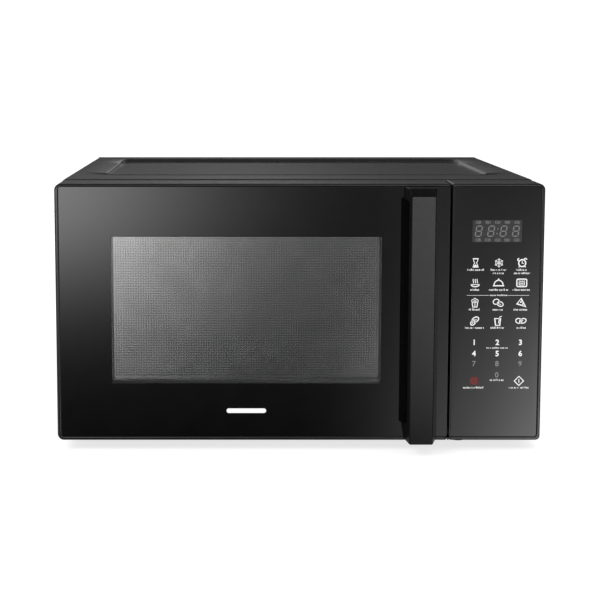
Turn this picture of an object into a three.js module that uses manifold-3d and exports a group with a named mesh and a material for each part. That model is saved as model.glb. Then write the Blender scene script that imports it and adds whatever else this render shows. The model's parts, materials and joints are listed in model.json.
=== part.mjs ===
// Countertop microwave oven with a grill, a side-hinged glass door and a printed keypad.
// Millimetres. +X to the right, +Y to the back, +Z up. The origin is on the table, under the
// middle of the oven's bounding box. The door is closed and the turntable is at rest.
import * as THREE from "three";
import { mergeVertices } from "three/addons/utils/BufferGeometryUtils.js";
import Module from "manifold-3d";

const wasm = await Module();
wasm.setup();

// ---------------------------------------------------------------- driving dimensions
const WIDTH = 539;
const DEPTH = 442; // handle to rear spacer
const HEIGHT = 300;
const FOOT_HEIGHT = 12;
const HANDLE_REACH = 24; // how far the handle stands in front of the glass
const FRONT_DEPTH = 40; // thickness of the door and of the control panel
const SPACER_REACH = 15; // rear spacer behind the cover
const SHEET = 1.2; // pressed steel
const GAP = 0.4; // between pieces that touch
const SEAM = 0.05; // between sheets welded together
const CORNER = 7; // outer corner radius of the front
const BORDER = 4.4; // plastic rim seen round the glass
const TOP_BORDER = 3;

const HALF = WIDTH / 2;
const HANDLE_Y = -DEPTH / 2;
const GLASS_Y = HANDLE_Y + HANDLE_REACH; // front face of the door glass and of the keypad
const FRAME_Y = GLASS_Y + 0.4; // the glass stands this much proud of its frame
const DOOR_BACK_Y = GLASS_Y + FRONT_DEPTH;
const PLATE_Y = DOOR_BACK_Y + 2.5; // front face of the steel front plate
const COVER_BACK_Y = DEPTH / 2 - SPACER_REACH;
const BODY_Z = FOOT_HEIGHT;
const JOGGLE = 1; // the cover's front edge steps in, under the line of the front
const INNER_HALF = HALF - JOGGLE - SHEET - GAP; // half width inside the cover's front edge
const BASE_Z = BODY_Z + 2;

// door
const DOOR_RIGHT = 165.4;
const DOOR_WALL = 2.5;
const GLASS_THICK = 3.2;
const HINGE = { x: -HALF + 10, y: DOOR_BACK_Y - 18 };
const PIN_RADIUS = 3;
const WINDOW = { x0: -208.5, x1: 91.5, z0: 76, z1: 241.6 }; // opening through the door behind the glass
const SCREEN_Y = GLASS_Y + 14;
const LATCH = { x: 145, thick: 4, lowZ: 94, highZ: 226, travel: 4 };

// control panel
const PANEL_LEFT = 167.8;
const DISPLAY = { x0: 189.6, x1: 244.9, z0: 235, z1: 260.4 };

// oven cavity, inside faces
const CAVITY = { x0: -233, x1: 121, z0: 42, z1: 270, y1: 198, corner: 5 };
const TABLE = { x: (CAVITY.x0 + CAVITY.x1) / 2, y: 22 };
const TRAY_RADIUS = 157.5;
const ROLLER = { radius: 7.4, track: 117, width: 8, bore: 2.45, axle: 2.3 };
const ROLLERS = 3;
const WING_ANGLE = (2 * Math.PI) / 3;
const FLOOR_Z = CAVITY.z0;
const ROLLER_Z = FLOOR_Z + 0.3 + ROLLER.radius;
const TRAY_Z = ROLLER_Z + ROLLER.radius + 0.3;

// side compartment
const COMPARTMENT_X = CAVITY.x1 + SHEET; // the cavity's outer right wall
const GRILL = { x0: -176, x1: 64, y0: -36, y1: 72 };
const WAVEGUIDE = { y0: -52, y1: 44, z0: 178, z1: 246 };
const FAN = { x: 196, y: 168, z: 196, radius: 52 };

// ---------------------------------------------------------------- solids
const solid = (geometry) => {
  const bare = geometry.index ? geometry.toNonIndexed() : geometry.clone();
  bare.deleteAttribute("normal");
  bare.deleteAttribute("uv");
  const merged = mergeVertices(bare, 1e-4);
  return new wasm.Manifold(
    new wasm.Mesh({
      numProp: 3,
      vertProperties: new Float32Array(merged.attributes.position.array),
      triVerts: new Uint32Array(merged.index.array),
    }),
  );
};

const geometryOf = (manifold) => {
  const { numProp, vertProperties, triVerts } = manifold.getMesh();
  const count = vertProperties.length / numProp;
  const positions = new Float32Array(count * 3);
  for (let i = 0; i < count; i++) {
    positions.set(vertProperties.subarray(i * numProp, i * numProp + 3), i * 3);
  }
  const geometry = new THREE.BufferGeometry();
  geometry.setAttribute("position", new THREE.BufferAttribute(positions, 3));
  geometry.setIndex(new THREE.BufferAttribute(new Uint32Array(triVerts), 1));
  geometry.computeVertexNormals();
  return geometry;
};

const join = (...geometries) => geometryOf(geometries.map(solid).reduce((a, b) => a.add(b)));
const cut = (base, ...tools) => geometryOf(tools.map(solid).reduce((a, b) => a.subtract(b), solid(base)));

const block = (x0, x1, y0, y1, z0, z1) =>
  new THREE.BoxGeometry(x1 - x0, y1 - y0, z1 - z0).translate(
    (x0 + x1) / 2,
    (y0 + y1) / 2,
    (z0 + z1) / 2,
  );

// A cylinder from one end to the other along an axis: "x", "y" or "z".
const rod = (axis, radius, from, to, u, v, sides = 24) => {
  const geometry = new THREE.CylinderGeometry(radius, radius, to - from, sides);
  const middle = (from + to) / 2;
  if (axis === "x") return geometry.rotateZ(Math.PI / 2).translate(middle, u, v);
  if (axis === "y") return geometry.translate(u, middle, v);
  return geometry.rotateX(Math.PI / 2).translate(u, v, middle);
};

// A rectangle with round corners; radii run from the low corner anticlockwise.
const roundedRect = (x0, x1, y0, y1, radius) => {
  const [a, b, c, d] = Array.isArray(radius) ? radius : [radius, radius, radius, radius];
  const shape = new THREE.Shape();
  shape.moveTo(x0 + a, y0);
  shape.lineTo(x1 - b, y0);
  if (b) shape.absarc(x1 - b, y0 + b, b, -Math.PI / 2, 0);
  shape.lineTo(x1, y1 - c);
  if (c) shape.absarc(x1 - c, y1 - c, c, 0, Math.PI / 2);
  shape.lineTo(x0 + d, y1);
  if (d) shape.absarc(x0 + d, y1 - d, d, Math.PI / 2, Math.PI);
  shape.lineTo(x0, y0 + a);
  if (a) shape.absarc(x0 + a, y0 + a, a, Math.PI, 1.5 * Math.PI);
  return shape;
};

const polygon = (points) => new THREE.Shape(points.map(([x, y]) => new THREE.Vector2(x, y)));

const extrude = (shape, depth, curveSegments) =>
  new THREE.ExtrudeGeometry(shape, { depth, bevelEnabled: false, curveSegments });

// An outline in X and Z, from y0 to y1.
const frontPrism = (shape, y0, y1, segments = 5) =>
  extrude(shape, y1 - y0, segments).rotateX(Math.PI / 2).translate(0, y1, 0);

// An outline in X and Y, from z0 to z1.
const topPrism = (shape, z0, z1, segments = 6) => extrude(shape, z1 - z0, segments).translate(0, 0, z0);

// An outline in Y and Z, from x0 to x1.
const sidePrism = (shape, x0, x1, segments = 6) => {
  const turn = new THREE.Matrix4().makeBasis(
    new THREE.Vector3(0, 1, 0),
    new THREE.Vector3(0, 0, 1),
    new THREE.Vector3(1, 0, 0),
  );
  return extrude(shape, x1 - x0, segments).applyMatrix4(turn).translate(x0, 0, 0);
};

// A closed profile of [radius, height] turned about Z.
const lathe = (profile, sides = 32) =>
  new THREE.LatheGeometry(
    profile.map(([r, z]) => new THREE.Vector2(r, z)),
    sides,
  ).rotateX(Math.PI / 2);

const repeat = (count, make) => Array.from({ length: count }, (_, i) => make(i));

// ---------------------------------------------------------------- materials
const material = (color, roughness, metalness = 0, extra = {}) =>
  new THREE.MeshStandardMaterial({ color, roughness, metalness, ...extra });

const paint = material(0x1b1b1c, 0.42, 0.2);
const steel = material(0x9a9c9e, 0.35, 0.9);
const enamel = material(0xb9bab8, 0.3, 0.1);
const glossPlastic = material(0x0b0b0c, 0.12);
const mattePlastic = material(0x141415, 0.6);
const whitePlastic = material(0xd8d6cf, 0.55);
const blackGlass = material(0x050506, 0.04);
const clearGlass = material(0xe6efee, 0.03, 0, { transparent: true, opacity: 0.35 });
const rubber = material(0x101010, 0.9);
const copper = material(0xa8622f, 0.4, 0.8);
const mica = material(0xb9a57e, 0.7);
const circuit = material(0x2a5a35, 0.6);

const oven = new THREE.Group();
const piece = (name, geometry, finish, position = [0, 0, 0], parent = oven) => {
  const mesh = new THREE.Mesh(geometry, finish);
  mesh.name = name;
  mesh.position.set(...position);
  parent.add(mesh);
  return mesh;
};

// ---------------------------------------------------------------- case
// A U-shaped sheet in X and Z, open at the bottom.
const wrap = (inset, y0, y1) => {
  const half = HALF - inset;
  const top = HEIGHT - inset;
  const bend = 5;
  const outer = roundedRect(-half, half, BODY_Z, top, [0, 0, bend, bend]);
  const inner = roundedRect(
    -half + SHEET,
    half - SHEET,
    BODY_Z - 1,
    top - SHEET,
    [0, 0, bend - SHEET, bend - SHEET],
  );
  return cut(frontPrism(outer, y0, y1), frontPrism(inner, y0 - 1, y1 + 1));
};

// A shallow pressing with sloping sides: wide at the top, narrow at the floor.
const pressing = (x0, x1, y0, y1, radius, floorZ, topZ, slope) => {
  const shape = roundedRect(x0 + slope, x1 - slope, y0 + slope, y1 - slope, radius - slope);
  const depth = topZ - floorZ;
  const both = new THREE.ExtrudeGeometry(shape, {
    depth: 0.01,
    bevelThickness: depth,
    bevelSize: slope,
    bevelSegments: 1,
    curveSegments: 6,
  });
  // The bevel narrows at both ends; turned over about its middle, its lower half is the pressing.
  return both.translate(0, 0, topZ);
};

const TOP_PANEL = { x0: -229, x1: 235, y0: -75, y1: 165, radius: 22, depth: 3.5, slope: 4 };

const ventSlots = (rows, columns, make) => repeat(rows * columns, (i) => make(i % rows, Math.floor(i / rows)));

const makeCover = () => {
  const lipEnd = PLATE_Y + 16;
  const main = wrap(0, lipEnd, COVER_BACK_Y);
  const lip = wrap(JOGGLE, PLATE_Y, lipEnd + 2);
  const flange = 12;
  const rear = cut(
    block(-HALF + 0.6, HALF - 0.6, COVER_BACK_Y - SHEET, COVER_BACK_Y, BODY_Z, HEIGHT - 0.6),
    block(-HALF + flange, HALF - flange, COVER_BACK_Y - 3, COVER_BACK_Y + 1, 0, HEIGHT - flange),
  );
  const p = TOP_PANEL;
  const floor = HEIGHT - p.depth;
  const pan = (grow, z0, z1) =>
    pressing(p.x0 - grow, p.x1 + grow, p.y0 - grow, p.y1 + grow, p.radius + grow, z0, z1, p.slope);
  const below = block(-HALF, HALF, -DEPTH, DEPTH, 0, HEIGHT);
  const dish = solid(pan(SHEET, floor - SHEET, HEIGHT)).intersect(solid(below));
  const hollow = pan(0, floor, HEIGHT);
  const side = (x, y0, length) =>
    ventSlots(9, 1, (row) => block(x - 3, x + 3, y0, y0 + length, 205 + row * 7.5, 208.2 + row * 7.5));
  const vents = [
    ...side(HALF, -110, 62),
    ...side(HALF, -30, 62),
    ...side(-HALF, 118, 62),
  ];
  const shell = [main, lip, rear].map(solid).reduce((a, b) => a.add(b));
  const pressed = shell.add(dish).subtract(solid(hollow));
  return geometryOf(vents.map(solid).reduce((a, b) => a.subtract(b), pressed));
};
piece("cabinet_cover", makeCover(), paint);

const makeBase = () => {
  const x = INNER_HALF;
  const y0 = PLATE_Y + SHEET + GAP;
  const y1 = COVER_BACK_Y - SHEET - GAP;
  const tray = cut(
    block(-x, x, y0, y1, BASE_Z, 30),
    block(-x + SHEET, x - SHEET, y0 - 1, y1 + 1, BASE_Z + SHEET, 31),
  );
  const vents = ventSlots(7, 2, (row, column) =>
    block(152 + column * 52, 192 + column * 52, -118 + row * 9, -114 + row * 9, BASE_Z - 2, BASE_Z + 4),
  );
  return cut(tray, ...vents);
};
piece("base_plate", makeBase(), steel);

const makeRearPanel = () => {
  const x = INNER_HALF - SHEET - GAP;
  const y1 = COVER_BACK_Y - SHEET - GAP;
  const plate = block(-x, x, y1 - SHEET, y1, BASE_Z + SHEET + GAP, HEIGHT - SHEET - GAP);
  const panDip = block(
    TOP_PANEL.x0 - 8,
    TOP_PANEL.x1 + 8,
    y1 - 3,
    y1 + 1,
    HEIGHT - TOP_PANEL.depth - 3,
    HEIGHT + 1,
  );
  const exhaust = ventSlots(8, 2, (row, column) =>
    block(
      FAN.x - 46 + column * 48,
      FAN.x - 4 + column * 48,
      y1 - 4,
      y1 + 2,
      FAN.z - 38 + row * 10,
      FAN.z - 33 + row * 10,
    ),
  );
  const steam = ventSlots(5, 2, (row, column) =>
    block(-200 + column * 56, -152 + column * 56, y1 - 4, y1 + 2, 230 + row * 9, 234 + row * 9),
  );
  const cordHole = rod("y", 8, y1 - 4, y1 + 2, 236, 58);
  return cut(plate, panDip, cordHole, ...exhaust, ...steam);
};
piece("rear_panel", makeRearPanel(), steel);

// A spacer that keeps the oven off the wall: two posts on a strip.
const makeRearSpacer = () => {
  const y0 = COVER_BACK_Y - SHEET;
  const post = (x) => block(x - 16, x + 16, y0, DEPTH / 2, 96, 108);
  return join(block(-78, 78, y0, y0 + 3, 92, 112), post(-60), post(60));
};
piece("rear_spacer", makeRearSpacer(), mattePlastic);

// Two halves of a ring gripping the panel, with a hole for a mains lead.
const makeGland = () => {
  const panelBack = COVER_BACK_Y - SHEET - GAP;
  const panelFront = panelBack - SHEET;
  const body = join(
    rod("y", 7.4, panelFront - 6, panelBack + 7, 0, 0, 20),
    rod("y", 11, panelBack + GAP, panelBack + 4, 0, 0, 20),
    rod("y", 10, panelFront - 4, panelFront - GAP, 0, 0, 20),
  );
  return cut(body, rod("y", 4, panelFront - 8, panelBack + 9, 0, 0, 16));
};
piece("cord_gland", makeGland(), rubber, [236, 0, 58]);

const FEET = [
  ["foot_front_left", -225, -130],
  ["foot_front_right", 185, -150],
  ["foot_rear_left", -215, 168],
  ["foot_rear_right", 215, 168],
];
const footProfile = [
  [0, 0],
  [9.5, 0],
  [11.4, 1.2],
  [12, 3],
  [12, FOOT_HEIGHT - 0.3],
  [3, FOOT_HEIGHT - 0.3],
  [3, BASE_Z - 0.3],
  [0, BASE_Z - 0.3],
];
for (const [name, x, y] of FEET) {
  piece(name, lathe(footProfile, 20), rubber, [x, y, 0]);
}

// A pan-head screw along +Y, its head at the back.
const makeScrew = () =>
  cut(
    join(rod("y", 3.6, 0, 2.2, 0, 0, 16), rod("y", 1.7, -2.6, 0.5, 0, 0, 12)),
    block(-2.4, 2.4, 1.4, 3, -0.4, 0.4),
    block(-0.4, 0.4, 1.4, 3, -2.4, 2.4),
  );
const SCREW_Y = COVER_BACK_Y + GAP;
const screwHole = (x, z) => rod("y", 2.1, COVER_BACK_Y - 5, COVER_BACK_Y + 3, x, z, 12);
const SCREWS = [
  ["cover_screw_left", -HALF + 7, 150],
  ["cover_screw_right", HALF - 7, 150],
];
for (const [name, x, z] of SCREWS) {
  piece(name, makeScrew(), steel, [x, SCREW_Y, z]);
}
for (const name of ["cabinet_cover", "rear_panel"]) {
  const mesh = oven.getObjectByName(name);
  mesh.geometry = cut(mesh.geometry, ...SCREWS.map(([, x, z]) => screwHole(x, z)));
}

// ---------------------------------------------------------------- chassis front and cavity
// The cavity's section, grown outwards by a distance.
const cavityOutline = (by) => {
  const c = CAVITY;
  return roundedRect(c.x0 - by, c.x1 + by, c.z0 - by, c.z1 + by, c.corner + by);
};

const hookSlot = (z) => [LATCH.x - 5, LATCH.x + 7, z - 10, z + 12];
const makeFrontPlate = () => {
  const y1 = PLATE_Y + SHEET;
  const left = -INNER_HALF;
  const plate = frontPrism(
    roundedRect(left, INNER_HALF, BASE_Z, HEIGHT - JOGGLE - SHEET - GAP, [2, 2, 4, 4]),
    PLATE_Y,
    y1,
  );
  const mouth = frontPrism(cavityOutline(0), PLATE_Y - 2, y1 + 2);
  const hinges = [19, 292].map((z) => block(left - 2, HINGE.x + 7, PLATE_Y - 2, y1 + 2, z - 2, z + 4));
  const hooks = [LATCH.lowZ, LATCH.highZ].map((z) => {
    const [x0, x1, z0, z1] = hookSlot(z);
    return block(x0, x1, PLATE_Y - 2, y1 + 2, z0, z1);
  });
  const panelHole = block(182, 256, PLATE_Y - 2, y1 + 2, 60, 262);
  return cut(plate, mouth, panelHole, ...hinges, ...hooks);
};
piece("front_plate", makeFrontPlate(), enamel);

// The cavity is a wrap of one sheet, open at both ends, and a flat back welded to it.
const CAVITY_Y0 = PLATE_Y + SHEET + GAP;
const makeCavityWrap = () => {
  const c = CAVITY;
  const outer = frontPrism(cavityOutline(SHEET), CAVITY_Y0, c.y1);
  const inner = frontPrism(cavityOutline(0), CAVITY_Y0 - 1, c.y1 + 1);
  const shaftHole = rod("z", 9, c.z0 - 4, c.z0 + 3, TABLE.x, TABLE.y);
  const grillHole = block(GRILL.x0, GRILL.x1, GRILL.y0, GRILL.y1, c.z1 - 3, c.z1 + 4);
  const w = WAVEGUIDE;
  const port = block(c.x1 - 3, c.x1 + 4, w.y0 + 12, w.y1 - 12, w.z0 + 12, w.z1 - 12);
  const lamp = repeat(6, (i) =>
    rod("x", 2.4, c.x1 - 3, c.x1 + 4, -104 + (i % 3) * 8, 226 + Math.floor(i / 3) * 8, 6),
  );
  const steam = repeat(8, (i) =>
    rod("x", 2.4, c.x0 - 4, c.x0 + 3, 134 + (i % 4) * 8, 230 + Math.floor(i / 4) * 8, 6),
  );
  return cut(outer, inner, shaftHole, grillHole, port, ...lamp, ...steam);
};
piece("oven_cavity", makeCavityWrap(), enamel);
piece(
  "cavity_back",
  frontPrism(cavityOutline(SHEET), CAVITY.y1 + SEAM, CAVITY.y1 + SEAM + SHEET),
  enamel,
);

// ---------------------------------------------------------------- microwave source
const WALL_X = COMPARTMENT_X + GAP;
const GUIDE_X = WALL_X + 38;
const makeWaveguide = () => {
  const w = WAVEGUIDE;
  const duct = cut(
    block(WALL_X, GUIDE_X, w.y0, w.y1, w.z0, w.z1),
    block(WALL_X - 1, GUIDE_X - SHEET, w.y0 + SHEET, w.y1 - SHEET, w.z0 + SHEET, w.z1 - SHEET),
    rod("x", 15, GUIDE_X - 4, GUIDE_X + 1, -4, 212),
  );
  return duct;
};
piece("waveguide_duct", makeWaveguide(), steel);

piece(
  "waveguide_cover",
  sidePrism(
    roundedRect(WAVEGUIDE.y0 + 4, WAVEGUIDE.y1 - 4, WAVEGUIDE.z0 + 4, WAVEGUIDE.z1 - 4, 4),
    CAVITY.x1 - 1.1,
    CAVITY.x1 - 0.4,
    3,
  ),
  mica,
);

// Yoke, cooling fins on the anode, filter box below and antenna to the left.
const makeMagnetron = () => {
  const length = 62;
  const yoke = cut(block(0, length, -47, 47, -38, 38), block(3, length - 3, -60, 60, -34.5, 34.5));
  const fins = repeat(6, (i) => block(10 + i * 8, 11.4 + i * 8, -40, 40, -35, 35));
  const filter = block(4, length - 4, -32, 32, -58, -37);
  return join(
    yoke,
    ...fins,
    filter,
    rod("x", 17, 1, length - 1, 0, 0, 20),
    rod("x", 12, -9, 4, 0, 0, 20),
    rod("x", 7, -27, -6, 0, 0, 16),
  );
};
piece("magnetron", makeMagnetron(), steel, [GUIDE_X + GAP + 0.3, -4, 212]);

// Laminated core with two windings side by side.
const makeTransformer = () => {
  const core = cut(
    block(-44, 44, -32, 32, 0, 72),
    block(-28, -13, -40, 40, 15, 57),
    block(13, 28, -40, 40, 15, 57),
  );
  const winding = (z0, z1) => block(-27.5, 27.5, -42, 42, z0, z1);
  const flange = block(-54, 54, -32, 32, 0, 2);
  return join(core, flange, winding(16, 34), winding(38, 56));
};
piece("high_voltage_transformer", makeTransformer(), copper, [196, -78, BASE_Z + SHEET + GAP]);

const makeCapacitor = () => {
  const can = topPrism(roundedRect(-26, 26, -16, 16, 15.9), 0, 84);
  const terminal = (x) => block(x - 3, x + 3, -0.5, 0.5, 83, 95);
  return join(can, terminal(-12), terminal(12), block(-34, 34, -1, 1, 20, 34));
};
piece("high_voltage_capacitor", makeCapacitor(), steel, [168, 20, BASE_Z + SHEET + GAP]);

const makeDiode = () =>
  join(rod("y", 3, 0, 16, 0, 0, 12), rod("y", 0.8, -12, 28, 0, 0, 8), rod("y", 4.5, 27, 28.5, 0, 0, 12));
piece("high_voltage_diode", makeDiode(), mattePlastic, [222, 6, 60]);

// ---------------------------------------------------------------- cooling
const FAN_BACK_Y = COVER_BACK_Y - 2 * SHEET - 2 * GAP;
const makeFanHousing = () => {
  const r = FAN.radius + 3;
  const plate = block(FAN.x - 62, FAN.x + 62, FAN_BACK_Y - 24, FAN_BACK_Y - 22, FAN.z - 62, FAN.z + 62);
  const barrel = rod("y", r + 2, FAN_BACK_Y - 46, FAN_BACK_Y - 22, FAN.x, FAN.z, 40);
  const legs = [-1, 1].flatMap((sx) =>
    [-1, 1].map((sz) =>
      block(
        FAN.x + sx * 57 - 4,
        FAN.x + sx * 57 + 4,
        FAN_BACK_Y - 23,
        FAN_BACK_Y,
        FAN.z + sz * 57 - 4,
        FAN.z + sz * 57 + 4,
      ),
    ),
  );
  const bore = rod("y", r, FAN_BACK_Y - 50, FAN_BACK_Y - 10, FAN.x, FAN.z, 40);
  return cut(join(plate, barrel, ...legs), bore);
};
piece("fan_housing", makeFanHousing(), whitePlastic);

const BLADES = 6;
const makeFanBlade = () => {
  const blade = (i) => {
    const wing = new THREE.BoxGeometry(FAN.radius - 12, 1.6, 24).translate((FAN.radius + 10) / 2, 0, 0);
    return wing.rotateX(0.6).rotateY((i * 2 * Math.PI) / BLADES);
  };
  const hub = rod("y", 12, -8, 8, 0, 0, 20);
  return cut(join(hub, ...repeat(BLADES, blade)), rod("y", 2, -10, 10, 0, 0, 12));
};
piece("fan_blade", makeFanBlade(), whitePlastic, [FAN.x, FAN.y, FAN.z]);

piece("fan_shaft", rod("y", 1.6, -43, 7, 0, 0, 12), steel, [FAN.x, FAN.y, FAN.z]);

// Shaded-pole motor in front of the blade: core, coil and bearing bridge.
const makeFanMotor = () => {
  const core = block(-30, 30, -38, -22, -30, 24);
  const coil = block(-16, 16, -48, -12, -46, -29);
  const bridge = block(-11, 11, -44, -16, -11, 11);
  const arms = [-1, 1].map((s) =>
    block(s > 0 ? 28 : -FAN.radius - 8, s > 0 ? FAN.radius + 8 : -28, -34, -31, -6, 6),
  );
  return cut(join(core, coil, bridge, ...arms), rod("y", 1.72, -50, -10, 0, 0, 12));
};
piece("fan_motor", makeFanMotor(), steel, [FAN.x, FAN.y, FAN.z]);

// Hood that carries air from the magnetron to the cavity's side wall.
const makeAirDuct = () => {
  const outer = block(COMPARTMENT_X + GAP, 232, -120, -54, 172, 252);
  const hollow = block(COMPARTMENT_X - 2, 230, -118, -50, 174, 250);
  return cut(outer, hollow, block(228, 240, -80, -60, 190, 230));
};
piece("air_duct", makeAirDuct(), whitePlastic);

const makeLamp = () =>
  join(
    lathe(
      [
        [0, 0],
        [9, 4],
        [12.5, 12],
        [11, 21],
        [6.5, 29],
        [6.5, 44],
        [0, 44],
      ],
      20,
    ).rotateY(Math.PI / 2),
    block(40, 48, -12, 12, -12, 12),
  );
piece("oven_lamp", makeLamp(), clearGlass, [COMPARTMENT_X + 4, -96, 230]);

const makeFilterBoard = () => {
  const y = 92;
  return join(
    block(168, 250, y - 34, y + 34, 262, 263.6),
    rod("z", 12, 263, 281, 190, y, 20),
    block(206, 230, y - 16, y + 4, 263, 280),
    rod("y", 3.4, y - 14, y + 14, 242, 266.4, 12),
  );
};
piece("noise_filter_board", makeFilterBoard(), circuit);

// ---------------------------------------------------------------- grill
const GRILL_Z = CAVITY.z1;
piece(
  "grill_guard",
  cut(
    block(GRILL.x0 + 1, GRILL.x1 - 1, GRILL.y0 + 1, GRILL.y1 - 1, GRILL_Z, GRILL_Z + SHEET),
    ...ventSlots(10, 3, (row, column) =>
      block(
        GRILL.x0 + 12 + row * 22,
        GRILL.x0 + 30 + row * 22,
        GRILL.y0 + 10 + column * 31,
        GRILL.y0 + 36 + column * 31,
        GRILL_Z - 2,
        GRILL_Z + 3,
      ),
    ),
  ),
  enamel,
);
piece(
  "grill_reflector",
  cut(
    block(GRILL.x0 - 10, GRILL.x1 + 10, GRILL.y0 - 8, GRILL.y1 + 8, GRILL_Z + SHEET + GAP, 293.4),
    block(GRILL.x0 - 9, GRILL.x1 + 9, GRILL.y0 - 7, GRILL.y1 + 7, GRILL_Z, 292.4),
  ),
  steel,
);
const makeHeater = () => {
  const length = GRILL.x1 - GRILL.x0 - 8;
  const cap = (x) => rod("x", 6.5, x, x + 12, 0, 0, 16);
  return join(rod("x", 5, 4, length - 4, 0, 0, 16), cap(0), cap(length - 12));
};
const HEATERS = [
  ["quartz_heater_front", GRILL.y0 + 28],
  ["quartz_heater_rear", GRILL.y1 - 28],
];
for (const [name, y] of HEATERS) {
  piece(name, makeHeater(), clearGlass, [GRILL.x0 + 4, y, 282]);
}

// ---------------------------------------------------------------- turntable
const turntable = new THREE.Group();
turntable.position.set(TABLE.x, TABLE.y, 0);
oven.add(turntable);

const MOTOR_TOP_Z = CAVITY.z0 - SHEET - GAP;
const makeTurntableMotor = () =>
  join(
    rod("z", 24.5, MOTOR_TOP_Z - 15, MOTOR_TOP_Z, 0, 0, 32),
    block(-32, 32, -6, 6, MOTOR_TOP_Z - 1.2, MOTOR_TOP_Z),
  );
piece(
  "turntable_motor",
  cut(makeTurntableMotor(), rod("z", 3.6, MOTOR_TOP_Z - 10, MOTOR_TOP_Z + 1, 0, 0, 16)),
  steel,
  [0, 0, 0],
  turntable,
);
piece(
  "turntable_shaft",
  rod("z", 3.4, MOTOR_TOP_Z - 9.5, FLOOR_Z + 8, 0, 0, 6),
  steel,
  [0, 0, 0],
  turntable,
);

const makeCoupler = () => {
  const wing = (i) => block(4, 26, -4.5, 4.5, FLOOR_Z + 3, FLOOR_Z + 12).rotateZ(i * WING_ANGLE);
  const hub = rod("z", 8.2, FLOOR_Z + 0.6, FLOOR_Z + 12, 0, 0, 24);
  return cut(join(hub, ...repeat(3, wing)), rod("z", 3.9, FLOOR_Z - 1, FLOOR_Z + 9, 0, 0, 6));
};
piece("drive_coupler", makeCoupler(), whitePlastic, [0, 0, 0], turntable);

const makeTray = () => {
  const z = TRAY_Z;
  const plate = lathe(
    [
      [0, z],
      [141, z],
      [150, z + 3],
      [TRAY_RADIUS - 1, z + 11],
      [TRAY_RADIUS, z + 13],
      [TRAY_RADIUS - 2.6, z + 14],
      [148, z + 7.4],
      [140, z + 4.6],
      [0, z + 4.6],
    ],
    48,
  );
  const lug = (i) =>
    rod("z", 4, z - 4.5, z + 1, 20, 0, 12).rotateZ((i + 0.5) * WING_ANGLE);
  return join(plate, ...repeat(3, lug));
};
piece("glass_tray", makeTray(), clearGlass, [0, 0, 0], turntable);

const makeRollerRing = () => {
  const inner = ROLLER.track - ROLLER.width / 2 - 8;
  const ring = cut(
    rod("z", inner + 5, ROLLER_Z - 2.5, ROLLER_Z + 2.5, 0, 0, 48),
    rod("z", inner, ROLLER_Z - 5, ROLLER_Z + 5, 0, 0, 48),
  );
  const axle = (i) => {
    const end = ROLLER.track + ROLLER.width / 2 + 3;
    const pin = rod("x", ROLLER.axle, inner + 2, end, 0, ROLLER_Z, 12);
    const collar = rod("x", 3.4, inner + 2, ROLLER.track - ROLLER.width / 2 - 0.6, 0, ROLLER_Z, 12);
    return join(pin, collar).rotateZ(i * WING_ANGLE);
  };
  return join(ring, ...repeat(ROLLERS, axle));
};
piece("roller_ring", makeRollerRing(), mattePlastic, [0, 0, 0], turntable);

const makeRoller = () =>
  cut(
    rod("x", ROLLER.radius, -ROLLER.width / 2, ROLLER.width / 2, 0, 0, 28),
    rod("x", ROLLER.bore, -ROLLER.width, ROLLER.width, 0, 0, 12),
  );
repeat(ROLLERS, (i) => {
  const angle = i * WING_ANGLE;
  const at = [ROLLER.track * Math.cos(angle), ROLLER.track * Math.sin(angle), ROLLER_Z];
  const roller = piece(`roller_${i + 1}`, makeRoller(), mattePlastic, at, turntable);
  roller.rotation.z = angle;
  return roller;
});

// ---------------------------------------------------------------- door
const FRAME = { x0: -HALF, x1: DOOR_RIGHT, z0: BODY_Z, z1: HEIGHT };
const GLASS = {
  x0: FRAME.x0 + BORDER,
  x1: FRAME.x1 - 1.2,
  z0: FRAME.z0 + BORDER,
  z1: FRAME.z1 - TOP_BORDER,
};
const UPPER_ARM_Z = 291;
const LOWER_ARM_Z = 19;
const ARM_THICK = 2;

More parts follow.
